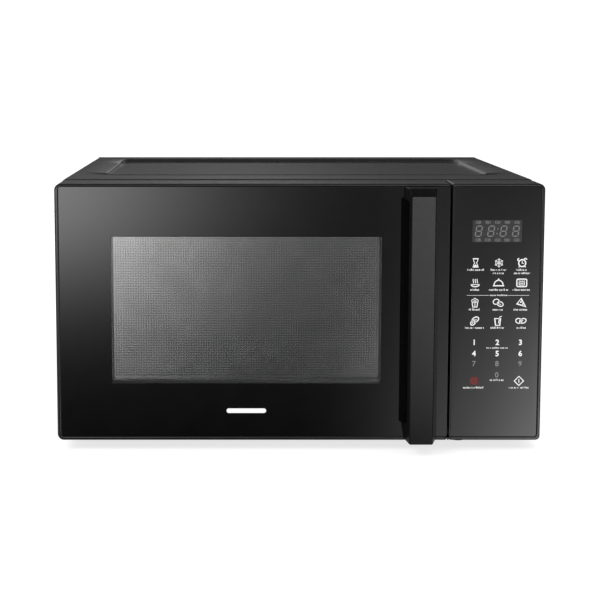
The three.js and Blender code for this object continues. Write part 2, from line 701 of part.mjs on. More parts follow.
// The moulded shell that holds everything in the door.
const makeDoorFrame = () => {
  const f = FRAME;
  const seatY = GLASS_Y + GLASS_THICK + GAP;
  const outer = frontPrism(
    roundedRect(f.x0, f.x1, f.z0, f.z1, [CORNER, 2, 2, CORNER]),
    FRAME_Y,
    DOOR_BACK_Y,
    8,
  );
  const pocket = frontPrism(
    roundedRect(GLASS.x0 - GAP, GLASS.x1 + GAP, GLASS.z0 - GAP, GLASS.z1 + GAP, 3),
    FRAME_Y - 1,
    seatY,
    4,
  );
  const hollow = block(
    f.x0 + DOOR_WALL,
    f.x1 - DOOR_WALL,
    seatY + DOOR_WALL,
    DOOR_BACK_Y + 1,
    f.z0 + DOOR_WALL,
    f.z1 - DOOR_WALL,
  );
  const sight = block(WINDOW.x0 + 1, WINDOW.x1 - 1, seatY - 1, seatY + 8, WINDOW.z0 + 2, WINDOW.z1 - 2);
  const cornerRadius = 6;
  const backCorner = cut(
    block(f.x0 - 1, f.x0 + cornerRadius, DOOR_BACK_Y - cornerRadius, DOOR_BACK_Y + 1, 0, HEIGHT + 2),
    rod(
      "z",
      cornerRadius,
      -1,
      HEIGHT + 3,
      f.x0 + cornerRadius,
      DOOR_BACK_Y - cornerRadius,
      32,
    ),
  );
  const armSlot = (z) =>
    block(f.x0 - 1, HINGE.x + 8, HINGE.y - 12.5, DOOR_BACK_Y + 1, z - 1.8, z + ARM_THICK + 1.8);
  const shell = cut(outer, pocket, hollow, sight);
  const holder = (z0, z1) => block(f.x0 + 2, HINGE.x + 8, HINGE.y - 8, HINGE.y + 8, z0, z1);
  const springPost = block(
    LATCH.x - 5,
    LATCH.x + 5,
    seatY + 1,
    DOOR_BACK_Y - 8,
    LATCH.lowZ - 44,
    LATCH.lowZ - 37,
  );
  const held = join(shell, springPost, holder(21.8, 33), holder(279, 288.6));
  const bushHole = rod("z", 6.3, 20, HEIGHT - 10, HINGE.x, HINGE.y, 24);
  return cut(held, bushHole, backCorner, armSlot(UPPER_ARM_Z), armSlot(LOWER_ARM_Z));
};
piece("door_frame", makeDoorFrame(), glossPlastic);

piece(
  "door_glass",
  frontPrism(
    roundedRect(GLASS.x0, GLASS.x1, GLASS.z0, GLASS.z1, 3),
    GLASS_Y,
    GLASS_Y + GLASS_THICK,
    4,
  ),
  blackGlass,
);

const CHOKE = { x0: WINDOW.x0 - 21, x1: WINDOW.x1 + 21, z0: WINDOW.z0 - 24, z1: WINDOW.z1 + 24 };
// The steel panel: a ring-shaped choke, and a thin perforated sheet across its middle.
const makeScreen = () => {
  const c = CHOKE;
  const front = GLASS_Y + 9;
  const back = DOOR_BACK_Y - 2;
  const w = WINDOW;
  const groove = cut(
    block(c.x0 + SHEET, c.x1 - SHEET, front + SHEET, back + 1, c.z0 + SHEET, c.z1 - SHEET),
    block(w.x0 - 1.4, w.x1 + 1.4, front, back + 2, w.z0 - 1.4, w.z1 + 1.4),
  );
  return cut(
    block(c.x0, c.x1, front, back, c.z0, c.z1),
    block(w.x0, w.x1, front - 1, SCREEN_Y - 0.5, w.z0, w.z1),
    block(w.x0, w.x1, SCREEN_Y + 0.5, back + 1, w.z0, w.z1),
    groove,
  );
};
piece("door_screen", makeScreen(), steel);

piece(
  "inner_window",
  block(
    WINDOW.x0 + GAP,
    WINDOW.x1 - GAP,
    DOOR_BACK_Y - 4,
    DOOR_BACK_Y - 2.2,
    WINDOW.z0 + GAP,
    WINDOW.z1 - GAP,
  ),
  clearGlass,
);

const makeChokeCover = () => {
  const y0 = DOOR_BACK_Y - 1.6;
  const f = FRAME;
  const sheet = frontPrism(
    roundedRect(
      f.x0 + 5.5,
      f.x1 - DOOR_WALL - GAP,
      f.z0 + DOOR_WALL + GAP,
      f.z1 - DOOR_WALL - GAP,
      2,
    ),
    y0,
    DOOR_BACK_Y,
    3,
  );
  const sight = frontPrism(
    roundedRect(WINDOW.x0, WINDOW.x1, WINDOW.z0, WINDOW.z1, 6),
    y0 - 1,
    DOOR_BACK_Y + 1,
  );
  const hooks = [LATCH.lowZ, LATCH.highZ].map((z) => {
    const [x0, x1, z0, z1] = hookSlot(z);
    return block(x0, x1, y0 - 1, DOOR_BACK_Y + 1, z0, z1);
  });
  const arms = [UPPER_ARM_Z, LOWER_ARM_Z].map((z) =>
    block(f.x0, HINGE.x + 8, y0 - 1, DOOR_BACK_Y + 1, z - 2, z + ARM_THICK + 2),
  );
  return cut(sheet, sight, ...hooks, ...arms);
};
piece("choke_cover", makeChokeCover(), mattePlastic);

// Handle: a full-height bar, wider at the glass than in front, with a finger scoop in its left side.
const HANDLE = {
  front: { x0: 120.2, x1: 145.8 },
  back: { x0: 113.8, x1: 153.5 },
  z0: 14.4,
  z1: 297,
  chamfer: 8,
};
const SCOOP = { depth: 16, x1: 137, z0: 35, z1: 284 };
const makeHandle = () => {
  const h = HANDLE;
  const backY = GLASS_Y - GAP;
  const section = polygon([
    [h.front.x0, HANDLE_Y],
    [h.front.x1, HANDLE_Y],
    [h.back.x1, backY],
    [h.back.x0, backY],
  ]);
  const bar = topPrism(section, h.z0, h.z1);
  const topCut = sidePrism(
    polygon([
      [HANDLE_Y - 1, h.z1 - h.chamfer - 1.2],
      [HANDLE_Y + 8, h.z1 + 1],
      [HANDLE_Y - 1, h.z1 + 1],
    ]),
    h.back.x0 - 1,
    h.back.x1 + 1,
  );
  const lowerTaper = frontPrism(
    polygon([
      [h.back.x0 - 1, h.z0 - 1],
      [h.back.x0 + 3, h.z0 - 1],
      [h.back.x0 - 1, h.z0 + 18],
    ]),
    HANDLE_Y - 1,
    backY + 1,
  );
  const scoopSection = roundedRect(h.back.x0 - 8, SCOOP.x1, backY - SCOOP.depth, backY - 2.4, [0, 5, 3, 0]);
  const scoop = topPrism(scoopSection, SCOOP.z0, SCOOP.z1);
  const opening = block(h.back.x0 - 8, h.back.x0 + 6, backY - SCOOP.depth, backY + 2, SCOOP.z0, SCOOP.z1);
  return cut(bar, topCut, lowerTaper, scoop, opening);
};
piece("door_handle", makeHandle(), glossPlastic);

// Bushes for the hinge pins.
const makeBush = (z0, z1) =>
  cut(
    rod("z", 5.9, z0, z1, 0, 0, 24),
    rod("z", PIN_RADIUS + 0.1, z0 - 1, z1 + 1, 0, 0, 24),
  );
piece("lower_hinge_bush", makeBush(LOWER_ARM_Z + ARM_THICK + 0.3, 32.6), whitePlastic, [HINGE.x, HINGE.y, 0]);
piece("upper_hinge_bush", makeBush(279.4, 288.4), whitePlastic, [HINGE.x, HINGE.y, 0]);

// A hinge arm reaching forward through the front plate, with its pin and a tab to hold it.
const makeHingeBracket = (armZ, side) => {
  const tabY = PLATE_Y + SHEET + GAP;
  const reach = 6;
  const arm = block(HINGE.x - reach, HINGE.x + reach, HINGE.y, tabY + SHEET, armZ, armZ + ARM_THICK);
  const nose = rod("z", reach, armZ, armZ + ARM_THICK, HINGE.x, HINGE.y, 24);
  const tab = block(
    HINGE.x - reach,
    HINGE.x + 16,
    tabY,
    tabY + SHEET,
    side > 0 ? armZ : armZ - 24,
    side > 0 ? armZ + 26 : armZ + ARM_THICK,
  );
  const pinEnds = side > 0 ? [armZ + 0.5, armZ + 12] : [armZ - 11, armZ + 1.5];
  return join(arm, nose, tab, rod("z", PIN_RADIUS, ...pinEnds, HINGE.x, HINGE.y, 24));
};
piece("upper_hinge_bracket", makeHingeBracket(UPPER_ARM_Z, -1), steel);
piece("lower_hinge_bracket", makeHingeBracket(LOWER_ARM_Z, 1), steel);

// Two hooks on one sliding bar. Each has a barb on its lower side.
const makeLatch = () => {
  const barY0 = DOOR_BACK_Y - 19;
  const barY1 = DOOR_BACK_Y - 8;
  const tip = PLATE_Y + 16;
  const hook = (z) =>
    polygon([
      [barY0 + 1, z - 5],
      [tip - 8, z - 5],
      [tip - 8, z - 8.5],
      [tip - 5, z - 8.5],
      [tip, z - 2],
      [tip, z + 1],
      [tip - 3, z + 4],
      [barY0 + 1, z + 4],
    ]);
  const x0 = LATCH.x - LATCH.thick / 2;
  const x1 = LATCH.x + LATCH.thick / 2;
  const bar = block(x0, x1, barY0, barY1, LATCH.lowZ - 8, LATCH.highZ + 7);
  return join(bar, sidePrism(hook(LATCH.lowZ), x0, x1), sidePrism(hook(LATCH.highZ), x0, x1));
};
piece("latch_hooks", makeLatch(), whitePlastic);

// A helix of wire, its coils along Z.
class Helix extends THREE.Curve {
  constructor(radius, length, turns) {
    super();
    Object.assign(this, { radius, length, turns });
  }
  getPoint(t, target = new THREE.Vector3()) {
    const angle = 2 * Math.PI * this.turns * t;
    return target.set(this.radius * Math.cos(angle), this.radius * Math.sin(angle), this.length * t);
  }
}
const makeSpring = () => {
  const wire = new THREE.Shape().absarc(0, 0, 0.5, 0, 2 * Math.PI);
  return new THREE.ExtrudeGeometry(wire, {
    steps: 48,
    extrudePath: new Helix(3, 26, 6),
    curveSegments: 2,
  });
};
piece("latch_spring", makeSpring(), steel, [LATCH.x, DOOR_BACK_Y - 14, LATCH.lowZ - 36]);

// ---------------------------------------------------------------- door interlock
const HOUSING_X0 = COMPARTMENT_X + GAP + 8;
const makeLatchHousing = () => {
  const y0 = PLATE_Y + SHEET + GAP;
  const body = block(HOUSING_X0, 160, y0, y0 + 26, 74, 246);
  const tunnels = [LATCH.lowZ, LATCH.highZ].map((z) => {
    const [x0, x1, z0, z1] = hookSlot(z);
    return block(x0, x1, y0 - 1, y0 + 30, z0, z1);
  });
  const pocket = block(HOUSING_X0 + 3, 157, y0 + 3, y0 + 30, 116, 204);
  return cut(body, pocket, ...tunnels);
};
piece("latch_housing", makeLatchHousing(), whitePlastic);

const makeSwitch = () =>
  join(
    cut(block(-5, 5, 0, 16, -14, 14), rod("x", 1.6, -8, 8, 4, -9, 10), rod("x", 1.6, -8, 8, 12, 9, 10)),
    block(-1.5, 1.5, -1.4, 0.5, -6, -3),
    block(-3, 3, 15.5, 21, -10, -9),
    block(-3, 3, 15.5, 21, 9, 10),
  );
const SWITCHES = [
  ["primary_switch", 132],
  ["monitor_switch", 162],
  ["secondary_switch", 190],
];
for (const [name, z] of SWITCHES) {
  piece(name, makeSwitch(), mattePlastic, [145, PLATE_Y + 9, z - 1]);
}

// ---------------------------------------------------------------- control panel
const PANEL = { x0: PANEL_LEFT, x1: HALF, z0: BODY_Z, z1: HEIGHT };
const PANEL_BACK_Y = PLATE_Y - GAP;
const OVERLAY = {
  x0: PANEL.x0 + 1.2,
  x1: PANEL.x1 - BORDER,
  z0: PANEL.z0 + BORDER,
  z1: PANEL.z1 - TOP_BORDER,
};
const OVERLAY_THICK = 1.6;

const makePanelFrame = () => {
  const p = PANEL;
  const seatY = GLASS_Y + OVERLAY_THICK + GAP;
  const outer = frontPrism(
    roundedRect(p.x0, p.x1, p.z0, p.z1, [2, CORNER - 2, CORNER, 2]),
    FRAME_Y,
    PANEL_BACK_Y,
    8,
  );
  const pocket = frontPrism(
    roundedRect(OVERLAY.x0 - GAP, OVERLAY.x1 + GAP, OVERLAY.z0 - GAP, OVERLAY.z1 + GAP, 3),
    FRAME_Y - 1,
    seatY,
    4,
  );
  const hollow = block(
    p.x0 + DOOR_WALL,
    p.x1 - DOOR_WALL,
    seatY + DOOR_WALL,
    PANEL_BACK_Y + 1,
    p.z0 + DOOR_WALL,
    p.z1 - DOOR_WALL,
  );
  const d = DISPLAY;
  const sight = block(d.x0 + 1.5, d.x1 - 1.5, seatY - 1, seatY + 4, d.z0 + 1.5, d.z1 - 1.5);
  const cableSlot = block(196, 240, seatY - 1, seatY + 4, 60, 66);
  return cut(outer, pocket, hollow, sight, cableSlot);
};
piece("control_panel_frame", makePanelFrame(), glossPlastic);

const d = DISPLAY;
piece(
  "keypad_overlay",
  cut(
    frontPrism(
      roundedRect(OVERLAY.x0, OVERLAY.x1, OVERLAY.z0, OVERLAY.z1, 3),
      GLASS_Y,
      GLASS_Y + OVERLAY_THICK,
      4,
    ),
    block(d.x0, d.x1, GLASS_Y - 1, GLASS_Y + 4, d.z0, d.z1),
  ),
  blackGlass,
);
piece(
  "display_window",
  block(d.x0 + 0.3, d.x1 - 0.3, GLASS_Y, GLASS_Y + OVERLAY_THICK, d.z0 + 0.3, d.z1 - 0.3),
  blackGlass,
);

const BOARD_Y = GLASS_Y + 16;
const makeBoard = () =>
  join(
    block(178, 262, BOARD_Y, BOARD_Y + 1.6, 66, 272),
    block(186, 212, BOARD_Y + 1, BOARD_Y + 18, 84, 116),
    rod("y", 6, BOARD_Y + 1, BOARD_Y + 15, 246, 96, 16),
    rod("y", 5, BOARD_Y + 1, BOARD_Y + 12, 232, 150, 16),
    block(196, 214, BOARD_Y + 1, BOARD_Y + 6, 180, 210),
    block(226, 246, BOARD_Y + 1, BOARD_Y + 18, 222, 250),
    rod("y", 7, BOARD_Y + 1, BOARD_Y + 10, 196, 240, 16),
  );
piece("control_board", makeBoard(), circuit);
piece(
  "display_module",
  block(d.x0 + 0.5, d.x1 - 0.5, BOARD_Y - 8, BOARD_Y - GAP, d.z0 - 2, d.z1 + 2),
  mattePlastic,
);

export default oven;
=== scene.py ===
"""A countertop microwave oven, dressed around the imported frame: painted case, glass door, printed keypad."""

import json
import math
import random

import bmesh
import bpy
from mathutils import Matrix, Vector


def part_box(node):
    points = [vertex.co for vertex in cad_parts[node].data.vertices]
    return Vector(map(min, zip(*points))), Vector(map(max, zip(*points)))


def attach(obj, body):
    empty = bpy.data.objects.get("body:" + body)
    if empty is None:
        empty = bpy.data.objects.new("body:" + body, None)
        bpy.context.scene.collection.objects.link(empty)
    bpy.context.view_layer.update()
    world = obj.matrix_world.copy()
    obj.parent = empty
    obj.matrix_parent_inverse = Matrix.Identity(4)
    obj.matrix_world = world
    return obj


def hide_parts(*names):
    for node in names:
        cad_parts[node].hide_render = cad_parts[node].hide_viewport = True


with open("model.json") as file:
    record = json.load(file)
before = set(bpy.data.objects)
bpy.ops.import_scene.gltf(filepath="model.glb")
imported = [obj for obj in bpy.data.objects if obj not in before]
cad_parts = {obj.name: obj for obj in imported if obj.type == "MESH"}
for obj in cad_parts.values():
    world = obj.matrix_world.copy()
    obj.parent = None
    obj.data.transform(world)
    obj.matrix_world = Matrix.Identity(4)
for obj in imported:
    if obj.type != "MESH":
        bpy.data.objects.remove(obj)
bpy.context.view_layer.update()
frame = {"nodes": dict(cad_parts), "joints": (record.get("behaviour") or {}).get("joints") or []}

MM = 0.001
MADE = []


# ---- outlines and lofts, in millimetres
def extent(node):
    """(x0, x1, y0, y1, z0, z1) of a CAD node, in millimetres."""
    low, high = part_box(node)
    return tuple(v / MM for pair in zip(low, high) for v in pair)


def rounded(u0, u1, v0, v1, radii, steps=8):
    """A rectangle with round corners; radii run from the low corner anticlockwise."""
    if isinstance(radii, (int, float)):
        radii = (radii,) * 4
    a, b, c, d = (max(r, 0.05) for r in radii)
    corners = [
        (u0 + a, v0 + a, a, math.pi),
        (u1 - b, v0 + b, b, 1.5 * math.pi),
        (u1 - c, v1 - c, c, 0),
        (u0 + d, v1 - d, d, 0.5 * math.pi),
    ]
    points = []
    for u, v, r, start in corners:
        for i in range(steps + 1):
            angle = start + i / steps * math.pi / 2
            points.append((u + r * math.cos(angle), v + r * math.sin(angle)))
    return points


def face_of(bounds, by=0):
    """(x0, x1, z0, z1) of a node's extent, grown on each side."""
    x0, x1, _, _, z0, z1 = bounds
    return x0 - by, x1 + by, z0 - by, z1 + by


def grown(face, by, radii, steps=8):
    """A rounded rectangle, grown on each side."""
    u0, u1, v0, v1 = face
    return rounded(u0 - by, u1 + by, v0 - by, v1 + by, radii, steps)


def filleted(points, radii, steps=4):
    """A polygon with each corner rounded by its radius."""
    made = []
    count = len(points)
    for i, radius in enumerate(radii):
        corner = Vector(points[i])
        back = (Vector(points[i - 1]) - corner).normalized()
        ahead = (Vector(points[(i + 1) % count]) - corner).normalized()
        half = back.angle(ahead) / 2
        reach = radius / math.tan(half)
        middle = corner + (back + ahead).normalized() * radius / math.sin(half)
        first, last = corner + back * reach - middle, corner + ahead * reach - middle
        sweep = first.angle(last)
        for k in range(steps + 1):
            part = k / steps * sweep
            point = (first * math.sin(sweep - part) + last * math.sin(part)) / math.sin(sweep)
            made.append(tuple(middle + point))
    return made


def circle(u, v, r, count=32):
    turns = (2 * math.pi * i / count for i in range(count))
    return [(u + r * math.cos(t), v + r * math.sin(t)) for t in turns]


def at_x(outline, x):
    return [(x, u, v) for u, v in outline]


def at_y(outline, y):
    return [(u, y, v) for u, v in outline]


def at_z(outline, z):
    return [(u, v, z) for u, v in outline]


def quarter(radius, steps=4):
    """(inset, depth) pairs round an edge, from the face to the side."""
    turns = [i / steps * math.pi / 2 for i in range(steps + 1)]
    return [(radius * (1 - math.sin(t)), radius * (1 - math.cos(t))) for t in turns]


def plate_edges(outline, y0, y1, front, back):
    """Loops round a plate from y0 to y1; front and back are each a radius and its number of steps."""
    near = [at_y(outline(i), y0 + d) for i, d in quarter(*front)]
    return near + [at_y(outline(i), y1 - d) for i, d in reversed(quarter(*back))]


def in_metres(bm, name):
    """Turns a bmesh in millimetres into a mesh in metres."""
    bmesh.ops.scale(bm, vec=(MM, MM, MM), verts=bm.verts)
    mesh = bpy.data.meshes.new(name)
    bm.to_mesh(mesh)
    bm.free()
    return mesh


def add_object(name, data):
    made = bpy.data.objects.new(name, data)
    bpy.context.scene.collection.objects.link(made)
    return made


def configure(thing, settings):
    for key, value in settings.items():
        setattr(thing, key, value)
    return thing


def modify(piece, name, kind, **settings):
    configure(piece.modifiers.new(name, kind), settings)


def shade_smooth(mesh, angle):
    """Smooth shading, with edges sharper than the angle left sharp."""
    mesh.polygons.foreach_set("use_smooth", [True] * len(mesh.polygons))
    mesh.set_sharp_from_angle(angle=math.radians(angle))


class Builder:
    """Collects lofts, in millimetres, into one mesh."""

    def __init__(self):
        self.bm = bmesh.new()

    def loft(self, loops, closed=False, caps=(True, True), material=0, cap_material=None):
        rows = [[self.bm.verts.new(p) for p in loop] for loop in loops]
        pairs = list(zip(rows, rows[1:]))
        if closed:
            pairs.append((rows[-1], rows[0]))
        for low, high in pairs:
            count = len(low)
            for i in range(count):
                j = (i + 1) % count
                face = self.bm.faces.new((low[i], low[j], high[j], high[i]))
                face.material_index = material
        if closed:
            return
        for wanted, row in zip(caps, (rows[0][::-1], rows[-1])):
            if wanted:
                face = self.bm.faces.new(row)
                face.material_index = material if cap_material is None else cap_material

    def slab(self, outline, y0, y1, front=0.5, back=0.3, steps=4, material=0):
        """A plate from y0 to y1; outline(inset) gives its edge, rounded front and back."""
        self.loft(plate_edges(outline, y0, y1, (front, steps), (back, steps)), material=material)

    def block(self, x0, x1, y0, y1, z0, z1, edge=0.4, radius=0.6, material=0):
        def outline(inset):
            return grown((x0, x1, z0, z1), -inset, max(radius - inset, 0.05), 3)

        self.slab(outline, y0, y1, edge, edge, 3, material=material)

    def finish(self, name, looks, body, slot, replaces=(), angle=32):
        bm = self.bm
        bmesh.ops.remove_doubles(bm, verts=bm.verts, dist=0.004)
        bmesh.ops.dissolve_degenerate(bm, edges=bm.edges, dist=0.002)
        bmesh.ops.recalc_face_normals(bm, faces=bm.faces)
        return dress(name, in_metres(bm, name), looks, body, replaces, angle)


def dress(name, mesh, looks, body, replaces=(), angle=32):
    """Makes an object of a mesh in metres, shaded smooth below the angle, riding on its body."""
    shade_smooth(mesh, angle)
    for look in looks:
        mesh.materials.append(LOOKS[look])
    piece = add_object(name, mesh)
    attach(piece, body)
    if replaces:
        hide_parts(*replaces)
    MADE.append(piece)
    return piece


def flatten_shading():
    """Keeps broad flat faces flat beside their rounded edges."""
    for piece in MADE:
        modify(piece, "weighted", "WEIGHTED_NORMAL", keep_sharp=True, weight=80)


def carve(piece, *builders):
    """Cuts the builders' solids out of a piece."""
    for i, builder in enumerate(builders):
        bmesh.ops.recalc_face_normals(builder.bm, faces=builder.bm.faces)
        cutter = add_object("cutter", in_metres(builder.bm, "cutter"))
        modify(piece, f"cut_{i}", "BOOLEAN", operation="DIFFERENCE", solver="EXACT", object=cutter)
        settle(piece)
        bpy.data.objects.remove(cutter)


def settle(piece, angle=32):
    """Applies a piece's modifiers to its mesh."""
    graph = bpy.context.evaluated_depsgraph_get()
    mesh = bpy.data.meshes.new_from_object(piece.evaluated_get(graph))
    piece.modifiers.clear()
    piece.data = mesh
    shade_smooth(mesh, angle)


# ---- materials
class Nodes:
    """A node tree, and short ways to add to it."""

    def __init__(self, tree):
        self.tree = tree

    def node(self, kind, sockets=(), **settings):
        """Adds a node; a socket takes a plain value, or a link from another node's output."""
        made = configure(self.tree.nodes.new(kind), settings)
        for key, value in dict(sockets).items():
            if isinstance(value, bpy.types.NodeSocket):
                self.link(value, made.inputs[key])
            else:
                made.inputs[key].default_value = value
        return made

    def link(self, source, target):
        self.tree.links.new(source, target)


class Look(Nodes):
    """A Principled material and the nodes that feed it."""

    def __init__(self, name, **constants):
        self.material = bpy.data.materials.new(name)
        self.material.use_nodes = True
        super().__init__(self.material.node_tree)
        self.shader = self.tree.nodes["Principled BSDF"]
        self.place = self.node("ShaderNodeTexCoord").outputs["Object"]
        self.normal = None
        for key, value in constants.items():
            self.shader.inputs[key.replace("_", " ")].default_value = value

    def stretched(self, x, y, z):
        return self.node("ShaderNodeMapping", {"Scale": (x, y, z), "Vector": self.place}).outputs["Vector"]

    def noise(self, scale, detail=3.0, roughness=0.5, place=None):
        sockets = {"Scale": scale, "Detail": detail, "Roughness": roughness, "Vector": place or self.place}
        return self.node("ShaderNodeTexNoise", sockets).outputs["Fac"]

    def cells(self, scale, feature="F1", output="Distance"):
        sockets = {"Scale": scale, "Vector": self.place}
        return self.node("ShaderNodeTexVoronoi", sockets, feature=feature).outputs[output]

    def waves(self, scale, direction):
        sockets = {"Scale": scale, "Vector": self.place}
        return self.node("ShaderNodeTexWave", sockets, bands_direction=direction).outputs["Fac"]

    def spread(self, factor, low, high, start=0.3, end=0.7):
        sockets = {"Value": factor, "From Min": start, "From Max": end, "To Min": low, "To Max": high}
        return self.node("ShaderNodeMapRange", sockets).outputs["Result"]

    def colours(self, factor, *stops):
        made = self.node("ShaderNodeValToRGB", {"Fac": factor})
        for element, (at, colour) in zip(made.color_ramp.elements, stops):
            element.position = at
            element.color = (*colour, 1)
        return made.outputs["Color"]

    def colour(self, factor, low, high, start=0.3, end=0.7):
        self.link(self.colours(factor, (start, low), (end, high)), self.shader.inputs["Base Color"])
        return self

    def roughness(self, factor, low, high, start=0.3, end=0.7):
        self.link(self.spread(factor, low, high, start, end), self.shader.inputs["Roughness"])
        return self

    def bump(self, height, distance, strength=1.0):
        """Adds relief; distance is in millimetres."""
        sockets = {"Strength": strength, "Distance": distance * MM, "Height": height}
        if self.normal is not None:
            sockets["Normal"] = self.normal
        self.normal = self.node("ShaderNodeBump", sockets).outputs["Normal"]
        self.link(self.normal, self.shader.inputs["Normal"])
        return self

    def blend_shaders(self, factor, first, second):
        """Shows the first shader where the factor is 0 and the second where it is 1."""
        mix = self.node("ShaderNodeMixShader", {0: factor, 1: first, 2: second})
        self.link(mix.outputs["Shader"], self.tree.nodes["Material Output"].inputs["Surface"])
        return self

    def clear_to_lamps(self, tint):
        """Lets light from lamps pass straight through the glass."""
        through = self.node("ShaderNodeBsdfTransparent", {"Color": (*tint, 1)})
        shadow = self.node("ShaderNodeLightPath").outputs["Is Shadow Ray"]
        return self.blend_shaders(shadow, self.shader.outputs["BSDF"], through.outputs["BSDF"])


def grey(value, warm=0.0):
    return (value * (1 + warm), value, value * (1 - warm))


def surface(name, colour, rough, *reliefs, warm=0.0, **constants):
    """A look whose colour, roughness and reliefs each follow a noise.

    Each is the noise's own values, then the low and high end, or a relief's distance and strength.
    """
    look = Look(name, **constants)
    noise, *tones = colour
    tones = [tone if isinstance(tone, tuple) else grey(tone, warm) for tone in tones]
    look.colour(look.noise(*noise), *tones)
    noise, *ends = rough
    look.roughness(look.noise(*noise), *ends)
    for noise, distance, strength in reliefs:
        look.bump(look.noise(*noise), distance, strength)
    return look


def handle_black():
    """Black moulding whose specular level rises towards the top: a painted sheen standing in for light from
    above.
    """
    colour, rough = ((50, 3), 0.002, 0.003), ((160, 4), 0.27, 0.31)
    look = surface("handle_black", colour, rough, ((300, 2), 0.0015, 0.12), Specular_IOR_Level=0.42)
    height = look.node("ShaderNodeSeparateXYZ", {0: look.place})
    # painted sheen: more reflective higher up, so the top reads brighter as if lit from above
    painted_top_sheen = look.spread(height.outputs["Z"], 0.14, 0.9, 0.02, 0.29)
    look.link(painted_top_sheen, look.shader.inputs["Specular IOR Level"])
    return look


def thin_pane(name, low, high):
    """Flat glass that light passes straight through, brighter in reflection towards grazing angles."""
    look = Look(name)
    tint = look.colours(look.noise(30, 3), (0.3, grey(low)), (0.7, grey(high)))
    through = look.node("ShaderNodeBsdfTransparent", {"Color": tint})
    mirror = look.node("ShaderNodeBsdfGlossy", {"Roughness": look.spread(look.noise(25, 4), 0.0, 0.03)})
    fresnel = look.node("ShaderNodeFresnel", {"IOR": 1.5})
    return look.blend_shaders(fresnel.outputs["Fac"], through.outputs["BSDF"], mirror.outputs["BSDF"])


def tray_glass():
    colour = ((20, 2), (0.90, 0.95, 0.93), (0.94, 0.98, 0.96))
    look = surface("tray_glass", colour, ((30, 4), 0.0, 0.03), Transmission_Weight=1.0, IOR=1.47)
    return look.clear_to_lamps((0.85, 0.9, 0.88))


def quartz():
    colour = ((90, 3), (0.82, 0.8, 0.75), (0.94, 0.93, 0.9))
    look = surface("quartz", colour, ((300, 3), 0.1, 0.35), Transmission_Weight=0.7, IOR=1.46)
    return look.clear_to_lamps((0.8, 0.8, 0.78))


def ink(name, low, high):
    return surface(name, ((900, 2), low, high), ((700, 2), 0.4, 0.55), Specular_IOR_Level=0.3)


def screen_coating():
    """Bright perforated steel with a fine level grain."""
    colour, rough, relief = ((180, 4), 0.49, 0.55), ((500, 3), 0.175, 0.205), ((900, 2), 0.02, 0.4)
    look = surface("screen_coating", colour, rough, relief, Metallic=1.0, Anisotropic=0.75)
    upright = look.node("ShaderNodeCombineXYZ", {"Z": 1})
    look.link(upright.outputs[0], look.shader.inputs["Tangent"])
    return look


def zinc():
    """Galvanised sheet: soft spangle, faint rolling lines."""
    look = Look("zinc", Metallic=1.0)
    look.colour(look.cells(170, output="Color"), grey(0.5), grey(0.6), 0.1, 0.9)
    look.roughness(look.noise(160, 4), 0.3, 0.46)
    return look.bump(look.noise(60, 2, place=look.stretched(1, 14, 14)), 0.02, 0.5)


def moulded(name, low, high, warm=0.0):
    rough, relief = ((400, 4), 0.45, 0.6), ((1100, 3, 0.6), 0.06, 0.7)
    return surface(name, ((70, 4), low, high), rough, relief, warm=warm)


def mica():
    look = Look("mica_board")
    flakes = look.cells(260, output="Color")
    look.colour(flakes, (0.42, 0.34, 0.22), (0.62, 0.54, 0.38), 0.1, 0.9)
    look.roughness(flakes, 0.3, 0.55, 0.1, 0.9)
    return look.bump(flakes, 0.03, 0.5)


def windings():
    """Varnished wire round a laminated core."""
    look = Look("windings", Metallic=0.6)
    lines = look.waves(300, "Z")
    look.colour(lines, (0.16, 0.07, 0.03), (0.5, 0.24, 0.1), 0.2, 0.8)
    look.roughness(look.noise(400, 3), 0.3, 0.5)
    return look.bump(lines, 0.25, 0.8)


def circuit():
    look = Look("circuit")
    tracks = look.cells(420, "DISTANCE_TO_EDGE")
    look.colour(tracks, (0.03, 0.14, 0.05), (0.05, 0.22, 0.08), 0.02, 0.12)
    look.roughness(look.noise(300, 3), 0.3, 0.45)
    return look.bump(tracks, 0.05, 0.6)


